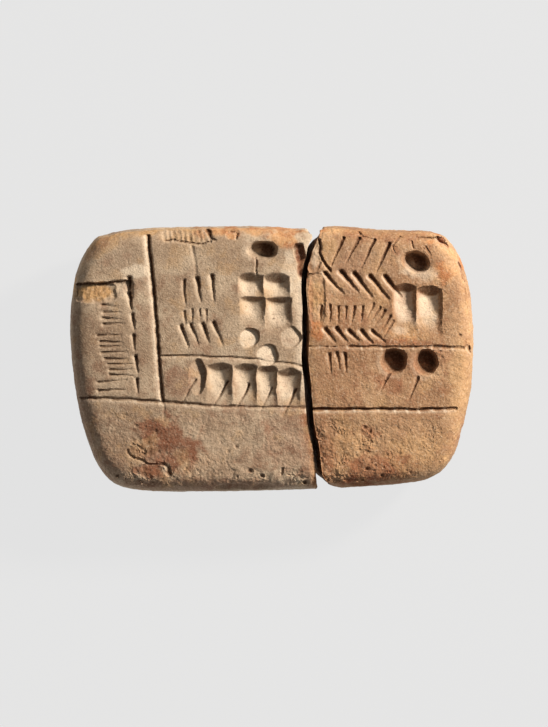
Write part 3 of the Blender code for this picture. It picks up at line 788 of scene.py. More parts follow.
class Carving:
    """Every mark, crack and worn place of the face."""

    sink = 0.12 * MM
    uneven_places = (0.0025, 0.004, 0.003, 0.006)
    uneven_reach = (0.9, 1.15)
    uneven_weight = (0.85, 1.12)
    stroke_head = (0.58, 0.55)
    stroke_tail = (0.30, 0.18)
    finest_pit = 0.10
    coarse_wear = 3.2 * MM
    fine_wear = 1.1 * MM
    broken_edges = {Side.LEFT: (1.2 * MM, 0.30 * MM), Side.RIGHT: (0.4 * MM, 0.14 * MM)}
    rim_run = 2.2 * MM
    scale_pitch = 0.85 * MM
    stain = (-19 * MM, -15 * MM)
    stain_size = (5 * MM, 4 * MM)
    thumb = (25.4 * MM, -11.9 * MM)
    thumb_size = 1.8 * MM
    thumb_dent = 0.10 * MM

    def __init__(self, body: ClayBody, broken: BreakSurface, seed: int) -> None:
        """Keeps the form that the marks are cut in, and the seeds of its unevenness.

        Args:
            body: The uncut clay.
            broken: The break between the fragments.
            seed: The seed of the noise and of the random draws.
        """
        self.body = body
        self.broken = broken
        self.grit = Grit(seed)
        self.draw = np.random.default_rng(seed + 1)

    def shares(self, place: Place) -> Place:
        """A place given in shares of the tablet, in metres."""
        return (place[0] * self.body.length, place[1] * self.body.width)

    @staticmethod
    def chain(places: list[Place], start_size: Place, end_size: Place, **manner: float) -> list[Groove]:
        """Grooves from place to place whose width and depth change evenly along the way.

        Args:
            places: The places that the grooves run through.
            start_size: Width and depth at the first place in millimetres.
            end_size: Width and depth at the last place in millimetres.
            manner: Further fields of every groove.

        Returns:
            One groove for each stretch.
        """
        count = len(places) - 1
        sizes = [
            tuple(start_size[i] + (end_size[i] - start_size[i]) * step / count for i in (0, 1))
            for step in range(count + 1)
        ]
        return [
            Groove(places[step], places[step + 1], sizes[step], sizes[step + 1], **manner)
            for step in range(count)
        ]

    def rules(self) -> list[Groove]:
        """The ruled lines, one groove for each short stretch of a smooth curve.

        Returns:
            The grooves.
        """
        grooves = []
        for places, start_size, end_size in RULES:
            curve = spline(tuple(self.shares(place) for place in places), 3, closed=False)
            grooves += self.chain([tuple(place) for place in curve], start_size, end_size)
        return grooves

    def strokes(self) -> list[Groove]:
        """The rows of plain strokes, each a little uneven, wide at the head and fine at the tail.

        Returns:
            The grooves.
        """
        grooves = []
        for first, last, count, run, row_weight in STROKE_ROWS:
            for index in range(count):
                share = index / max(count - 1, 1)
                shift = self.draw.uniform(-1, 1, 4) * self.uneven_places
                reach = self.draw.uniform(*self.uneven_reach)
                head = (first[0] + (last[0] - first[0]) * share + shift[0],
                        first[1] + (last[1] - first[1]) * share + shift[1])
                tail = (head[0] + run[0] * reach + shift[2], head[1] + run[1] * reach + shift[3])
                weight = row_weight * self.draw.uniform(*self.uneven_weight)
                wide, fine = (
                    tuple(size * weight for size in end) for end in (self.stroke_head, self.stroke_tail))
                grooves.append(Groove(
                    self.shares(head), self.shares(tail), wide, fine, lean=0.6, shoulder=0.35 * MM,
                    pale=0.7, adds=True))
        return grooves

    def cracks(self) -> list[Groove]:
        """The cracks, each a chain of fine grooves.

        Returns:
            The grooves.
        """
        grooves = []
        for places, start_size, end_size in CRACKS:
            grooves += self.chain(
                [to_metres(place) for place in places], start_size, end_size, lean=0.3,
                shoulder=0.3 * MM, press_down=0.03 * MM, pale=0.5)
        return grooves

    def presses(self) -> list[RoundHole | Scoop | Disc | Recess]:
        """The counting marks and the larger lost pieces of the face.

        Returns:
            The marks.
        """
        marks: list[RoundHole | Scoop | Disc | Recess] = []
        for place, length, width, turn in HOLES:
            marks.append(RoundHole(self.shares(place), (length * MM, width * MM), math.radians(turn)))
        for place, width, length, depth in SCOOPS:
            marks.append(Scoop(self.shares(place), width * MM, length * MM, depth * MM))
        for place, size, depth, pale in DISCS:
            marks.append(Disc(self.shares(place), to_metres(size), depth * MM, pale))
        for middle, half_size, turn, depth, tilt, roughness, squareness in RECESSES:
            marks.append(Recess(
                to_metres(middle), to_metres(half_size), math.radians(turn), depth * MM, tilt,
                roughness * MM, self.grit, squareness))
        return marks

    def scattered(self) -> list[tuple[float, float, float]]:
        """Fine pits strewn over the rough zones, as places in millimetres and a radius.

        Returns:
            The pits.
        """
        pits = []
        for (x, y), (reach_x, reach_y), count, most in ROUGH_ZONES:
            across = self.draw.normal(0.0, 0.5, (count, 2))
            for (off_x, off_y), radius in zip(across, self.draw.uniform(self.finest_pit, most, count)):
                pits.append((x + off_x * reach_x, y + off_y * reach_y, radius))
        return pits

    def pit(self, sheet: Sheet) -> None:
        """Presses the small pits and the scattered fine ones of the rough zones.

        Args:
            sheet: The places of the face and their tints, which the mark changes.
        """
        for x, y, radius in (*PITS, *self.scattered()):
            spots = sheet.near((to_metres((x, y)),), 1.0 * MM)
            away = np.hypot(sheet.x[spots] - x * MM, (sheet.y[spots] - y * MM) * 1.25) / (radius * MM)
            sheet.deepen(spots, 0.9 * radius * MM * (1 - smooth(away / 1.3)))
            # Darkens each pit: partly grime, partly painted shade in the hollow.
            sheet.tint(Tint.DIRT_AND_SHADE, spots, min(0.85, 2.4 * radius) * (1 - smooth(away)))

    def wear(self, sheet: Sheet, side: Side) -> None:
        """Rounds the broken edge, wears the rim and lays the patches of colour.

        Args:
            sheet: The places of the face and their tints, which the mark changes.
            side: Which fragment the places belong to.
        """
        x, y = sheet.x, sheet.y
        everywhere = np.arange(len(x))
        coarse = self.grit.layered(x, y, self.coarse_wear)
        fine = self.grit.layered(y, x, self.fine_wear)
        clear = self.broken.clearance(side, x, y, self.body.face_height(x, y))
        run, drop = self.broken_edges[side]
        edge = np.exp(-(np.maximum(clear, 0.0) / run) ** 1.6)
        sheet.rise -= drop * edge * (0.5 + 1.0 * coarse)
        if side is Side.LEFT:
            upper = ramp(y, -8, 4) * (1 - ramp(sheet.cut, 0, 0.4))
            sheet.tint(Tint.PALE, everywhere, 0.8 * edge * (0.7 + 0.5 * fine) * upper)
            sheet.tint(Tint.WORN, everywhere, 0.7 * edge * ramp(-y, 6, 4))
        else:
            sheet.tint(Tint.WORN, everywhere, 0.5 * edge * fine)
        inset = self.body.inset(x, y, self.body.edge_run)
        top = ramp(y, 12, 7)
        rim = smooth(1.15 - inset / self.rim_run + (coarse - 0.5) * 1.2)
        warm = ramp(x, -16, 8) * ramp(-x, -16, 6)
        sheet.tint(Tint.WORN, everywhere, rim * top * warm * (0.5 + 0.6 * fine))
        sheet.tint(Tint.OCHRE, everywhere, rim * top * (0.45 + 0.7 * fine))
        sheet.tint(Tint.OCHRE, everywhere, 1.05 * rim * ramp(x, 22, 8) * fine)
        # Darker along the bottom rim, which is turned from the lamp: painted shade.
        sheet.tint(Tint.DIRT_AND_SHADE, everywhere, 0.08 * rim * ramp(-y, 17, 4) * (0.5 + fine))
        for kind, middle, half_size, turn, strength in PATCHES:
            self.patch(
                sheet, kind, to_metres(middle), to_metres(half_size), math.radians(turn), strength)
        self.striate(sheet)
        self.roughen(sheet, side)
        sheet.rise -= 0.16 * MM * rim * top * fine

    def patch(
            self, sheet: Sheet, kind: Tint, middle: Place, half_size: Place, turn: float,
            strength: float) -> None:
        """Lays one ragged patch of colour.

        Args:
            sheet: The places and their tints.
            kind: Which tint the patch is.
            middle: Middle of the patch.
            half_size: Half its length and half its width.
            turn: Its turn from the X axis.
            strength: Its strongest tint.
        """
        spots = sheet.near((middle,), 2.2 * max(half_size))
        if not len(spots):
            return
        x, y = sheet.x[spots] - middle[0], sheet.y[spots] - middle[1]
        cos, sin = math.cos(turn), math.sin(turn)
        away = np.hypot((x * cos + y * sin) / half_size[0], (y * cos - x * sin) / half_size[1])
        ragged = self.grit.layered(sheet.x[spots], sheet.y[spots], 1.5 * MM) - 0.5
        sheet.tint(kind, spots, strength * smooth(1.6 - away * 1.15 + ragged * 1.3))

    def striate(self, sheet: Sheet) -> None:
        """Scores the flaked band by the top edge with upright scales.

        Args:
            sheet: The places of the face and their tints, which the mark changes.
        """
        x, y = sheet.x, sheet.y
        band = ramp(x, -19, 1) * ramp(-x, 9.6, 1) * ramp(y, 19.3, 0.5)
        lean = x + 0.12 * (y - 20 * MM) + 0.3 * MM * self.grit.at(x, y, 1.3 * MM)
        scale = np.abs(np.sin(lean / self.scale_pitch * math.pi))
        sheet.rise -= band * 0.30 * MM * (1 - scale ** 0.6) * (0.5 + self.grit.at(x, y, 1.7 * MM))
        sheet.tint(Tint.DIRT_AND_SHADE, np.arange(len(x)), 0.5 * band * (1 - smooth(scale * 3.4)))

    def roughen(self, sheet: Sheet, side: Side) -> None:
        """Pits the zones where the skin of the clay is worn through.

        Args:
            sheet: The places of the face and their tints, which the mark changes.
            side: Which fragment the places belong to.
        """
        x, y = sheet.x, sheet.y
        if side is Side.LEFT:
            away = np.hypot(
                (x - self.stain[0]) / self.stain_size[0], (y - self.stain[1]) / self.stain_size[1])
            zone = np.maximum(0.45 * ramp(-y, 7.5, 2) + 0.40 * ramp(-y, 18, 1.5), np.exp(-away ** 2))
        else:
            zone = np.maximum(ramp(-y, 9, 3) * (0.55 + 0.45 * ramp(-x, -20, 9)), 0.35)
        sheet.rough = np.maximum(sheet.rough, zone)
        wide = 1 - np.abs(self.grit.at(x + 0.4 * y, y - 0.4 * x, 1.1 * MM) - 0.5) * 9
        narrow = 1 - np.abs(self.grit.at(y - 0.7 * x, x + 0.7 * y, 0.8 * MM) - 0.5) * 8
        crevice = np.maximum(wide, narrow)
        open_clay = zone * smooth((self.grit.at(x, y, 3.3 * MM) - 0.35) / 0.3)
        lumps = self.grit.layered(x, -y, 1.9 * MM) - 0.5
        sheet.rise += 0.44 * MM * zone * lumps - 0.20 * MM * open_clay * smooth(crevice)
        filled = open_clay * smooth(crevice * 1.5 - 0.5) * (y < 17 * MM)
        sheet.tint(Tint.DIRT_AND_SHADE, np.arange(len(x)), 0.22 * filled)
        away = np.hypot(x - self.thumb[0], y - self.thumb[1]) / self.thumb_size
        sheet.rise -= self.thumb_dent * (1 - smooth((away - 0.8) / 0.25)) * ramp(x, 23.6, 2)

    def apply(self, sheet: Sheet, side: Side) -> Array:
        """Presses every mark and returns how far each place of the face sinks.

        Args:
            sheet: The places and their tints, which the marks change.
            side: Which fragment the places belong to.

        Returns:
            The depth of the face below the uncut clay at every place.
        """
        true_x, true_y = sheet.x.copy(), sheet.y.copy()
        fine_x, fine_y = self.grit.at(true_y, true_x, 1.1 * MM), self.grit.at(true_x, -true_y, 1.2 * MM)
        shift_x = self.grit.at(true_x, true_y, 2.4 * MM) + 0.5 * fine_x - 0.75
        shift_y = self.grit.at(true_y, true_x, 2.1 * MM) + 0.5 * fine_y - 0.75
        stages = (
            (self.presses(), 0.34), (self.rules(), 0.20), (self.strokes(), 0.20), (self.cracks(), 0.55))
        for marks, warp in stages:
            sheet.x, sheet.y = true_x + warp * MM * shift_x, true_y + warp * MM * shift_y
            for mark in marks:
                mark.press(sheet)
        self.pit(sheet)
        sheet.x, sheet.y = true_x, true_y
        self.wear(sheet, side)
        swell = self.grit.at(true_x, true_y, 9 * MM) * 0.16 * MM
        swell += self.grit.at(true_y, true_x, 4 * MM) * 0.07 * MM
        inner = ramp(self.body.inset(true_x, true_y, 3 * MM), 0.55, 0.8)
        uneven = 0.85 + 0.3 * self.grit.at(true_x, true_y, 1.9 * MM)
        return (sheet.cut * uneven - sheet.rise + swell + self.sink) * inner


@dataclass
class Loop:
    """One level of a fragment: its four sides in plan, each with its heights."""

    bottom: Array
    right: Array
    top: Array
    left: Array

    @staticmethod
    def read(side: Array, share: Array) -> Array:
        """Points of a side at shares of its length.

        Args:
            side: The side's points, one row each.
            share: Shares from its start to its end.

        Returns:
            The points, one row each.
        """
        steps = np.hypot(np.diff(side[:, 0]), np.diff(side[:, 1]))
        marks = np.concatenate([[0.0], np.cumsum(steps)])
        marks /= marks[-1]
        return np.stack([np.interp(share, marks, side[:, axis]) for axis in range(3)], 1)

    def fill(self, u: Array, v: Array) -> Array:
        """Places inside the loop, blended from its four sides.

        Args:
            u: Shares from the left side to the right side.
            v: Shares from the bottom side to the top side.

        Returns:
            The place of every point, one row each.
        """
        low, high = self.read(self.bottom, u), self.read(self.top, u)
        near, far = self.read(self.left, v), self.read(self.right, v)
        u, v = u[:, None], v[:, None]
        corners = (
            (1 - u) * (1 - v) * self.bottom[0] + u * (1 - v) * self.bottom[-1]
            + (1 - u) * v * self.top[0] + u * v * self.top[-1])
        return (1 - v) * low + v * high + (1 - u) * near + u * far - corners


@dataclass
class Fragment:
    """One fragment of the tablet: a closed clay mesh on one side of the break."""

    name: str
    node: str
    slot: str
    side: Side
    columns: int
    rows: int
    body: ClayBody
    broken: BreakSurface
    carving: Carving
    edge_levels: int = 9
    back_levels: int = 14
    top_inset: float = 0.0005
    side_points: int = 400
    forward: float = 0.0
    forward_from: float = 0.0055
    forward_to: float = 0.0195
    wrap: float = 0.5
    crack_worn: float = 0.35
    # Painted shade on the broken faces in the gap and on the low sides by the floor.
    painted_crack_shade: float = 0.6
    painted_foot_shade: float = 0.25
    weight_steps: int = 16
    highest_lump: float = 0.95
    deepest_chip: float = 0.0012
    sharp_angle: float = math.radians(55)

    def levels(self) -> list[tuple[float, float, bool]]:
        """Rows of the edge from the flat of the back up to the rim of the face.

        Returns:
            For each level its inset, its share of height, and whether it is above the belly.
        """
        rows = []
        for level in range(self.edge_levels + 1):
            inset = self.top_inset * (1 - level / self.edge_levels) ** 3.0
            rows.append((inset, float(self.body.rise(inset)), True))
        for level in range(1, self.back_levels + 1):
            turn = math.pi / 2 * level / self.back_levels
            rows.append((self.body.back_run * (1 - math.cos(turn)), 1 - math.sin(turn), False))
        return rows[::-1]

    def block(self) -> bpy.types.Object:
        """A grid extruded down row by row into a closed block, its top subdivided once more.

        Returns:
            The block's object.
        """
        bpy.ops.object.select_all(action="DESELECT")
        bpy.ops.mesh.primitive_grid_add(
            x_subdivisions=self.columns, y_subdivisions=self.rows, size=1.0, location=(0.5, 0.5, 1.0))
        piece = bpy.context.object
        piece.name = self.name
        bpy.ops.object.transform_apply(location=True, rotation=False, scale=False)
        count = self.edge_levels + self.back_levels
        bpy.ops.object.mode_set(mode="EDIT")
        bpy.ops.mesh.select_all(action="SELECT")
        for _ in range(count):
            bpy.ops.mesh.extrude_region_move(TRANSFORM_OT_translate={"value": (0, 0, -1 / count)})
        bpy.ops.mesh.select_all(action="SELECT")
        bpy.ops.mesh.normals_make_consistent(inside=False)
        bpy.ops.mesh.select_mode(type="FACE")
        bpy.ops.mesh.select_all(action="DESELECT")
        bpy.ops.object.mode_set(mode="OBJECT")
        vertices, faces = piece.data.vertices, piece.data.polygons
        upper = [vertices[face.vertices[0]].co.z + face.normal.z > 1.5 for face in faces]
        faces.foreach_set("select", upper)
        bpy.ops.object.mode_set(mode="EDIT")
        bpy.ops.mesh.subdivide(number_cuts=1)
        bpy.ops.object.mode_set(mode="OBJECT")
        return piece

    def crossing(self, rim: Array, clear: Array, index: int) -> Array:
        """The place where the outline passes the break, between a point and the next."""
        share = clear[index] / (clear[index] - clear[index + 1])
        return rim[index] + (rim[index + 1] - rim[index]) * share

    def arcs(self, inset: float, rise: float, above: bool) -> tuple[Array, Array, Array]:
        """The outline of one level on this side of the break, cut at the fragment's two round corners.

        Args:
            inset: How far the outline is drawn in.
            rise: The level's share of height above or below the belly.
            above: Whether the level is above the belly.

        Returns:
            The three arcs in turn, counter-clockwise.
        """
        outline = self.body.outline()
        x, y = self.body.drawn_in(outline[:, 0], outline[:, 1], inset)
        rim_x, rim_y = self.body.drawn_in(outline[:, 0], outline[:, 1], self.body.edge_run)
        z = np.full_like(x, self.body.belly * rise)
        if above:
            z = self.body.belly + (self.body.face_height(rim_x, rim_y) - self.body.belly) * rise
        rim = np.stack([x, y, z], 1)
        clear = self.broken.clearance(self.side, x, y, z)
        away = np.argmin(clear)
        rim, clear, outline = (np.roll(part, -away, 0) for part in (rim, clear, outline))
        inside = np.nonzero(clear > 0)[0]
        first, last = inside[0], inside[-1]
        reach = self.side.value * outline[:, 0]
        turn = np.arctan2(outline[:, 1], reach * self.body.width / self.body.length)
        corners = sorted(int(np.argmin(np.abs(turn - goal))) for goal in (math.pi / 4, -math.pi / 4))
        start, end = self.crossing(rim, clear, first - 1), self.crossing(rim, clear, last)
        run = np.vstack([start[None], rim[first:last + 1], end[None]])
        one, two = corners[0] - first + 1, corners[1] - first + 1
        return run[:one + 1], run[one:two + 1], run[two:]

    def broken_side(self, start: Array, end: Array, heights: Array | None) -> Array:
        """The broken side of one level, from its bottom end to its top end.

        Args:
            start: Where the level's outline meets the break at the bottom edge.
            end: Where it meets the break at the top edge.
            heights: Height of the face along the break, or nothing for the top level itself.

        Returns:
            The side's points, one row each.
        """
        share = np.linspace(0.0, 1.0, self.side_points)
        y = start[1] + (end[1] - start[1]) * share
        starts = smooth((y - self.forward_from) / (3 * MM))
        proud = self.forward * starts * smooth((self.forward_to - y) / (2.5 * MM))
        if heights is None:
            x = self.broken.middle(y, self.body.face_height(start[0], y))
            for _ in range(4):
                z = self.body.surface(x, y)
                x = self.broken.middle(y, z) + self.side.value * self.broken.half_gap(z) + proud
            return np.stack([x, y, z], 1)
        ratio = start[2] / heights[0] * (1 - share) + end[2] / heights[-1] * share
        z = heights * ratio
        x = self.broken.middle(y, z) + self.side.value * self.broken.half_gap(z) + proud
        return np.stack([x, y, z], 1)

    def notched(self, points: Array) -> Array:
        """Points pushed clear of the lost corners, the far ones less, so that none pass each other.

        Args:
            points: The points, one row each.

        Returns:
            The pushed points.
        """
        moved = points.copy()
        for place, size in NOTCHES[self.side]:
            middle_x, middle_y = self.carving.shares(place)
            size_x, size_y = to_metres(size)
            off_x, off_y = moved[:, 0] - middle_x, moved[:, 1] - middle_y
            away = np.hypot(off_x / size_x, off_y / size_y) * 2
            push = np.where(away < 2, (1 + away / 2) / np.maximum(away, 1e-6), 1.0)
            moved[:, 0], moved[:, 1] = middle_x + off_x * push, middle_y + off_y * push
        return moved

    def loop(self, level: tuple[float, float, bool], heights: Array | None) -> Loop:
        """The four sides of one level.

        Args:
            level: The level's inset, share of height, and whether it is above the belly.
            heights: Height of the face along the break, or nothing for the top level itself.

        Returns:
            The level's loop.
        """
        first, second, third = self.arcs(*level)
        if self.side is Side.LEFT:
            crack = self.broken_side(third[-1], first[0], heights)
            sides = (third, crack, first[::-1], second[::-1])
        else:
            crack = self.broken_side(first[0], third[-1], heights)
            sides = (first, second, third[::-1], crack)
        return Loop(*sides)

    def lay(self, piece: bpy.types.Object) -> None:
        """Lays the block's points on the clay's form, with every mark of the face.

        Args:
            piece: The fragment's object.
        """
        count = len(piece.data.vertices)
        flat = np.zeros(count * 3)
        piece.data.vertices.foreach_get("co", flat)
        grid = flat.reshape(-1, 3)
        u, v = np.clip(grid[:, 0], 0, 1), np.clip(grid[:, 1], 0, 1)
        rows = self.levels()
        level = np.rint(grid[:, 2] * (len(rows) - 1)).astype(int)
        top = level == len(rows) - 1
        form = np.zeros_like(grid)
        rim = self.loop(rows[-1], None)
        form[top] = self.notched(rim.fill(u[top], v[top]))
        sheet = Sheet(form[top, 0], form[top, 1])
        sunk = self.carving.apply(sheet, self.side)
        form[top, 2] = self.body.surface(form[top, 0], form[top, 1]) - sunk
        crack_at = u[top] > 1 - 1e-6 if self.side is Side.LEFT else u[top] < 1e-6
        order = np.argsort(v[top][crack_at])
        heights = np.interp(
            np.linspace(0, 1, self.side_points), v[top][crack_at][order], form[top, 2][crack_at][order])
        for index, row in enumerate(rows[:-1]):
            loop = self.loop(row, heights)
            here = level == index
            if index == 0:
                form[here] = self.notched(loop.fill(u[here], v[here]))
                form[here, 2] = 0.0
                continue
            for axis, end, side, along in (
                    (v, 0.0, loop.bottom, u), (v, 1.0, loop.top, u),
                    (u, 0.0, loop.left, v), (u, 1.0, loop.right, v)):
                edge = here & (np.abs(axis - end) < 1e-6)
                form[edge] = self.notched(Loop.read(side, along[edge]))
        piece.data.vertices.foreach_set("co", form.ravel())
        piece.data.update()
        self.mark_tints(piece, top, sheet, u)

    def mark_tints(self, piece: bpy.types.Object, top: Array, sheet: Sheet, u: Array) -> None:
        """Writes the tints as mesh attributes, and the broken and skin zones as vertex groups.

        Args:
            piece: The fragment's object.
            top: Which points belong to the face.
            sheet: The tints of the face.
            u: Each point's share from the left side to the right side.
        """
        count = len(piece.data.vertices)
        spot = np.zeros(count * 3)
        piece.data.vertices.foreach_get("co", spot)
        x, y, z = spot.reshape(-1, 3).T
        crack = (u > 1 - 1e-6) if self.side is Side.LEFT else (u < 1e-6)
        wrapped = self.wrap * (self.body.thickness - z[~top])
        beside = Sheet(*self.body.drawn_in(x[~top], y[~top], wrapped))
        self.carving.wear(beside, self.side)
        high, close = ramp(z[~top], 2, 6), ramp(z[~top], 10, 3)
        # The broken faces take some worn colour and painted shade, as they lie in the gap.
        on_crack = {Tint.WORN: self.crack_worn, Tint.PALE: 0.0, Tint.DIRT_AND_SHADE: self.painted_crack_shade}
        for tint in Tint:
            values = np.zeros(count)
            values[top] = np.clip(sheet.tints[tint], 0.0, 1.0)
            values[~top] = beside.tints[tint] * (close if tint is Tint.RED else high)
            # Painted shade on the low sides next to the floor.
            if tint is Tint.DIRT_AND_SHADE:
                values[~top] += self.painted_foot_shade * (1 - high)
            if tint in on_crack:
                values[crack & ~top] = on_crack[tint]
            layer = piece.data.attributes.new(tint.value, "FLOAT", "POINT")
            layer.data.foreach_set("value", np.clip(values, 0.0, 1.0).astype(np.float32))
        rough = np.full(count, 0.3)
        rough[top] = np.clip(sheet.rough, 0.0, 1.0)
        under = z < 0.3 * MM
        self.weigh(piece, "broken", crack * np.where(top, 0.5, 1.0))
        self.weigh(piece, "skin", np.where(under | crack, 0.25, 1.0))
        self.weigh(piece, "rough", np.where(under | crack, 0.0, rough))
        chipped = np.maximum(ramp(y, 15, 4), ramp(x, 26, 4))
        outer = smooth(1.4 - self.body.inset(x, y, 3 * MM) / (1.6 * MM)) * smooth(z / (4 * MM) - 0.5)
        worn = np.maximum(chipped, 0.25) * outer
        self.weigh(piece, "edge", np.where(crack, np.maximum(chipped * outer, 0.3), worn))

    def weigh(self, piece: bpy.types.Object, name: str, weights: Array) -> None:
        """Adds a vertex group, its weights rounded to a few even steps.

        Args:
            piece: The fragment's object.
            name: The group's name.
            weights: A weight from 0 to 1 for every point.
        """
        group = piece.vertex_groups.new(name=name)
        steps = np.rint(weights * self.weight_steps).astype(int)
        for step in range(1, self.weight_steps + 1):
            group.add(np.nonzero(steps == step)[0].tolist(), step / self.weight_steps, "REPLACE")

    def chip(self, piece: bpy.types.Object) -> None:
        """Sinks the points inside each missing chip to the chip's own surface.

        Args:
            piece: The fragment's object.
        """
        count = len(piece.data.vertices)
        flat, normal = np.zeros(count * 3), np.zeros(count * 3)
        piece.data.vertices.foreach_get("co", flat)
        piece.data.vertices.foreach_get("normal", normal)
        form, inward = flat.reshape(-1, 3), -normal.reshape(-1, 3)
        full = (self.body.length, self.body.width, self.body.thickness)
        for place, size in CHIPS:
            middle = np.array([share * side for share, side in zip(place, full)])
            reach = np.array(size) * MM / 2
            start, run = (form - middle) / reach, inward / reach
            square, cross, rest = (run ** 2).sum(1), (start * run).sum(1), (start ** 2).sum(1) - 1
            root = np.sqrt(np.maximum(0.0, cross ** 2 - square * rest))
            travel = np.where(rest < 0, (root - cross) / np.maximum(square, 1e-9), 0.0)
            form += inward * np.minimum(travel, self.deepest_chip)[:, None]
        piece.data.vertices.foreach_set("co", form.ravel())
        piece.data.update()

    def displace(self, piece: bpy.types.Object, name: str, size: float, depth: float, group: str) -> None:
        """Adds and applies a Displace modifier that only ever sinks the clay.

        Args:
            piece: The fragment's object.
            name: Name of the modifier and its texture.
            size: Width of a lump.
            depth: How deep the unevenness goes.
            group: The vertex group that it acts on.
        """
        texture = bpy.data.textures.new(f"{self.name}_{name}", "CLOUDS")
        texture.noise_scale = size
        texture.noise_depth = 3
        texture.noise_basis = "ORIGINAL_PERLIN"
        texture.noise_type = "SOFT_NOISE"
        modifier = piece.modifiers.new(name, "DISPLACE")
        modifier.texture = texture
        modifier.texture_coords = "LOCAL"
        modifier.direction = "NORMAL"
        modifier.vertex_group = group
        modifier.strength = depth
        modifier.mid_level = self.highest_lump
        bpy.context.view_layer.objects.active = piece
        bpy.ops.object.modifier_apply(modifier=name)

    def settle(self, piece: bpy.types.Object) -> None:
        """Brings the underside back to the floor and keeps the clay inside its box.

        Args:
            piece: The fragment's object.
        """
        count = len(piece.data.vertices)
        flat = np.zeros(count * 3)
        piece.data.vertices.foreach_get("co", flat)
        form = flat.reshape(-1, 3)
        lift = form[:, 2].min()
        form[:, 2] -= lift * np.clip(1 - form[:, 2] / (2 * MM), 0.0, 1.0)
        half = np.array([self.body.length / 2, self.body.width / 2])
        form[:, :2] = np.clip(form[:, :2], -half, half)
        form[:, 2] = np.clip(form[:, 2], 0.0, self.body.thickness)
        piece.data.vertices.foreach_set("co", form.ravel())
        piece.data.update()

    def build(self) -> bpy.types.Object:
        """Models the fragment and returns its finished object.

        Returns:
            The fragment's object.
        """
        piece = self.block()
        self.lay(piece)
        self.chip(piece)
        for name, size, depth, group in UNEVENNESS:
            self.displace(piece, name, size * MM, depth * MM, group)
        self.settle(piece)
        bpy.ops.object.mode_set(mode="EDIT")
        bpy.ops.mesh.select_all(action="SELECT")
        bpy.ops.mesh.normals_make_consistent(inside=False)
        bpy.ops.object.mode_set(mode="OBJECT")
        bpy.ops.object.shade_smooth_by_angle(angle=self.sharp_angle)
        return piece


def linear(colour: str) -> tuple[float, float, float, float]:
    """A hex sRGB colour as the linear values that a shader reads.

    Args:
        colour: The colour as six hex digits after a hash sign.

    Returns:
        Red, green, blue and an alpha of 1.
    """
    parts = [int(colour[index:index + 2], 16) / 255 for index in (1, 3, 5)]
    lit = [part / 12.92 if part <= 0.04045 else ((part + 0.055) / 1.055) ** 2.4 for part in parts]
    return (lit[0], lit[1], lit[2], 1.0)


def add_node(
        material: bpy.types.Material, kind: str, settings: dict[str, object] | None = None,
        inputs: dict[str | int, object] | None = None) -> bpy.types.Node:
    """Adds a node with its settings, values and links.

    Args:
        material: The material whose tree gets the node.
        kind: The node's type name.
        settings: Attributes of the node.
        inputs: For each input socket a value, or the output socket that feeds it.

    Returns:
        The new node.
    """
    node = material.node_tree.nodes.new(kind)
    for name, value in (settings or {}).items():
        setattr(node, name, value)
    for name, value in (inputs or {}).items():
        if isinstance(value, bpy.types.NodeSocket):
            material.node_tree.links.new(value, node.inputs[name])
        else:
            node.inputs[name].default_value = value
    return node


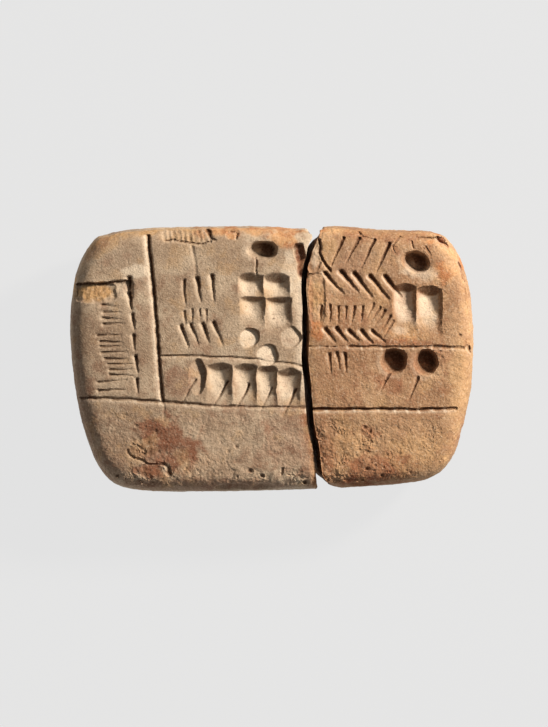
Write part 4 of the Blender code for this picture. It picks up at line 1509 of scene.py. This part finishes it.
@dataclass(frozen=True)
class ClayFinish:
    """Sun-dried river clay, smoothed by hand and worn: matt, mottled, with grime and painted shade in its
    marks and pale painted highlights on their lit edges.
    """

    name: str
    light_skin: str
    dark_skin: str
    worn: str
    worn_deep: str
    ochre: str
    red: str
    pale: str
    dirt_and_shade: str
    roughness: float = 0.92
    cloud_size: float = 0.009
    mottle_size: float = 0.0021
    patch_size: float = 0.0042
    speck_size: float = 0.00038
    grain_size: float = 0.00027
    grain_height: float = 0.00018

    def blend(
            self, material: bpy.types.Material, share: object, low: object,
            high: object) -> bpy.types.NodeSocket:
        """The output of a node that blends one colour into another."""
        node = add_node(material, "ShaderNodeMix", {"data_type": "RGBA"}, {0: share, 6: low, 7: high})
        return node.outputs[2]

    def noise(self, material: bpy.types.Material, size: float, detail: float) -> bpy.types.NodeSocket:
        """The output of a noise texture over the object, with lumps of one size.

        Args:
            material: The material whose tree gets the nodes.
            size: Width of a lump.
            detail: How many finer layers it has.

        Returns:
            The noise from 0 to 1.
        """
        coordinates = add_node(material, "ShaderNodeTexCoord")
        node = add_node(
            material, "ShaderNodeTexNoise", {},
            {"Vector": coordinates.outputs["Object"], "Scale": 1 / size, "Detail": detail, "Roughness": 0.6})
        return node.outputs["Fac"]

    def spread(
            self, material: bpy.types.Material, value: object, low: float,
            high: float) -> bpy.types.NodeSocket:
        """The output of a node that stretches a range of values to run from 0 to 1.

        Args:
            material: The material whose tree gets the nodes.
            value: The value that is stretched.
            low: The value that gives 0.
            high: The value that gives 1.

        Returns:
            The stretched value.
        """
        node = add_node(
            material, "ShaderNodeMapRange", {"interpolation_type": "SMOOTHSTEP"},
            {"Value": value, "From Min": low, "From Max": high})
        return node.outputs["Result"]

    def share(self, material: bpy.types.Material, value: object, amount: float) -> bpy.types.NodeSocket:
        """The output of a node that scales a value."""
        node = add_node(material, "ShaderNodeMath", {"operation": "MULTIPLY"}, {0: value, 1: amount})
        return node.outputs[0]

    def mask(
            self, material: bpy.types.Material, tint: Tint, rough: object,
            amount: float) -> bpy.types.NodeSocket:
        """A tint's attribute, broken up by a noise.

        Args:
            material: The material whose tree gets the nodes.
            tint: The tint.
            rough: The noise.
            amount: How strongly the noise breaks the tint up.

        Returns:
            The share of the tint.
        """
        layer = add_node(material, "ShaderNodeAttribute", {"attribute_name": tint.value})
        shift = add_node(
            material, "ShaderNodeMath", {"operation": "MULTIPLY_ADD"}, {0: rough, 1: amount, 2: -amount / 2})
        weight = add_node(
            material, "ShaderNodeMath", {"operation": "MULTIPLY_ADD"},
            {0: shift.outputs[0], 1: layer.outputs["Fac"], 2: layer.outputs["Fac"]})
        return self.spread(material, weight.outputs[0], 0.02, 1.0)

    def material(self) -> bpy.types.Material:
        """Builds the clay's material and returns it.

        Returns:
            The material.
        """
        material = bpy.data.materials.new(self.name)
        material.use_nodes = True
        material.node_tree.nodes.clear()
        cloud = self.noise(material, self.cloud_size, 3.0)
        mottle = self.noise(material, self.mottle_size, 4.0)
        speck = self.noise(material, self.speck_size, 2.0)
        cloudy = self.spread(material, cloud, 0.35, 0.65)
        skin = self.blend(material, cloudy, linear(self.dark_skin), linear(self.light_skin))
        skin = self.blend(material, self.spread(material, mottle, 0.52, 0.72), skin, linear(self.dark_skin))
        worn = self.blend(
            material, self.spread(material, mottle, 0.40, 0.62), linear(self.worn), linear(self.worn_deep))
        colour = self.blend(material, self.mask(material, Tint.OCHRE, mottle, 1.4), skin, linear(self.ochre))
        colour = self.blend(material, self.mask(material, Tint.WORN, mottle, 1.4), colour, worn)
        colour = self.blend(material, self.mask(material, Tint.RED, mottle, 1.0), colour, linear(self.red))
        # Pale patches, partly pale clay and partly painted highlights on the lit lips, rims and floors of
        # the marks.
        colour = self.blend(material, self.mask(material, Tint.PALE, speck, 0.5), colour, linear(self.pale))
        patchy = self.noise(material, self.patch_size, 3.0)
        reddish = self.share(material, self.spread(material, patchy, 0.54, 0.68), 0.30)
        colour = self.blend(material, reddish, colour, linear(self.red))
        yellowish = self.share(material, self.spread(material, patchy, 0.46, 0.34), 0.32)
        colour = self.blend(material, yellowish, colour, linear(self.ochre))
        darker = self.blend(material, self.spread(material, speck, 0.50, 0.74), colour, linear(self.dirt_and_shade))
        colour = self.blend(material, 0.34, colour, darker)
        lighter = self.blend(material, self.spread(material, speck, 0.48, 0.26), colour, linear(self.pale))
        colour = self.blend(material, 0.30, colour, lighter)
        # Darkening in the marks, the gap and on walls turned from the lamp: partly grime, partly painted
        # shade.
        colour = self.blend(material, self.mask(material, Tint.DIRT_AND_SHADE, speck, 0.7), colour, linear(self.dirt_and_shade))
        grain = self.noise(material, self.grain_size, 3.0)
        bump = add_node(
            material, "ShaderNodeBump", {},
            {"Height": grain, "Distance": self.grain_height, "Strength": 0.8})
        shader = add_node(
            material, "ShaderNodeBsdfPrincipled", {},
            {"Base Color": colour, "Roughness": self.roughness, "Specular IOR Level": 0.25,
             "Normal": bump.outputs["Normal"]})
        add_node(material, "ShaderNodeOutputMaterial", {}, {"Surface": shader.outputs["BSDF"]})
        return material


@dataclass(frozen=True)
class PaperFinish:
    """Matt white seamless paper, lit from behind so that it stays pale and takes only a faint shadow."""

    name: str = "seamless_paper"
    colour: str = "#333333"
    glow: str = "#ffffff"
    glow_strength: float = 0.755

    def material(self) -> bpy.types.Material:
        """Builds the paper's material and returns it.

        Returns:
            The material.
        """
        material = bpy.data.materials.new(self.name)
        material.use_nodes = True
        material.node_tree.nodes.clear()
        shader = add_node(
            material, "ShaderNodeBsdfPrincipled", {},
            {"Base Color": linear(self.colour), "Roughness": 1.0, "Specular IOR Level": 0.0,
             "Emission Color": linear(self.glow), "Emission Strength": self.glow_strength})
        add_node(material, "ShaderNodeOutputMaterial", {}, {"Surface": shader.outputs["BSDF"]})
        return material


@dataclass
class Studio:
    """The pale floor, the soft lights and the camera overhead."""

    floor_size: float = 6.0
    key_turn: float = KEY_TURN
    key_height: float = math.radians(31)
    key_distance: float = 0.60
    key_size: float = 0.10
    key_power: float = 5.8
    sky: float = 0.17
    lens: float = 260.6
    camera_place: tuple[float, float, float] = (0.00034, -0.00085, 0.8964)

    def floor(self) -> bpy.types.Object:
        """Lays the floor under the clay.

        Returns:
            The floor's object.
        """
        bpy.ops.object.select_all(action="DESELECT")
        bpy.ops.mesh.primitive_plane_add(size=self.floor_size, location=(0, 0, 0))
        floor = bpy.context.object
        floor.name = "floor"
        floor.data.materials.append(PaperFinish().material())
        return floor

    def lights(self) -> None:
        """Sets the raking key light and the even light of the room."""
        flat = self.key_distance * math.cos(self.key_height)
        place = (
            flat * math.cos(self.key_turn), flat * math.sin(self.key_turn),
            self.key_distance * math.sin(self.key_height))
        light = bpy.data.lights.new("key", "AREA")
        light.shape = "DISK"
        light.size = self.key_size
        light.energy = self.key_power
        light.color = linear("#fff6ea")[:3]
        lamp = bpy.data.objects.new("key", light)
        bpy.context.scene.collection.objects.link(lamp)
        lamp.location = place
        lamp.rotation_euler = (math.pi / 2 - self.key_height, 0, math.pi / 2 + self.key_turn)
        world = bpy.data.worlds.new("room")
        bpy.context.scene.world = world
        world.use_nodes = True
        back = world.node_tree.nodes["Background"]
        back.inputs["Color"].default_value = linear("#ffffff")
        back.inputs["Strength"].default_value = self.sky

    def camera(self) -> None:
        """Sets the camera straight above the clay."""
        eye = bpy.data.cameras.new("overhead")
        eye.lens = self.lens
        eye.clip_start = 0.01
        eye.clip_end = 20.0
        view = bpy.data.objects.new("overhead", eye)
        bpy.context.scene.collection.objects.link(view)
        view.location = self.camera_place
        bpy.context.scene.camera = view

    def build(self) -> None:
        """Sets the whole studio."""
        self.floor()
        self.lights()
        self.camera()
        bpy.context.scene.view_settings.view_transform = "Standard"


LEFT_CLAY = ClayFinish(
    name="sun_dried_clay_left", light_skin="#c9b297", dark_skin="#a98f76", worn="#d2a071",
    worn_deep="#bb8156", ochre="#c69d6e", red="#8d5e46", pale="#e4cfb5", dirt_and_shade="#4c2e1a")
RIGHT_CLAY = ClayFinish(
    name="sun_dried_clay_right", light_skin="#c49d78", dark_skin="#a57d5d", worn="#d6a577",
    worn_deep="#bd8054", ochre="#cda475", red="#9a6144", pale="#e9d4ba", dirt_and_shade="#50301e")


def main() -> None:
    """Builds and dresses the fragments, sets the studio, and reports each piece."""
    logging.basicConfig(level=logging.INFO, format="%(name)s: %(message)s")
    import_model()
    body = ClayBody()
    broken = BreakSurface(body)
    parts = (
        (Fragment(
            "left_clay_fragment", "left_fragment", "left_clay", Side.LEFT, columns=125, rows=135,
            body=body, broken=broken, carving=Carving(body, broken, seed=11), forward=0.3 * MM), LEFT_CLAY),
        (Fragment(
            "right_clay_fragment", "right_fragment", "right_clay", Side.RIGHT, columns=106, rows=157,
            body=body, broken=broken, carving=Carving(body, broken, seed=29)), RIGHT_CLAY),
    )
    for fragment, finish in parts:
        piece = fragment.build()
        piece.data.materials.clear()
        piece.data.materials.append(finish.material())
        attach(piece, "root")
        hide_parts(fragment.node)
        LOG.info("%s: %d faces, finish %s", piece.name, len(piece.data.polygons), finish.name)
    Studio().build()


if __name__ == "__main__":
    main()
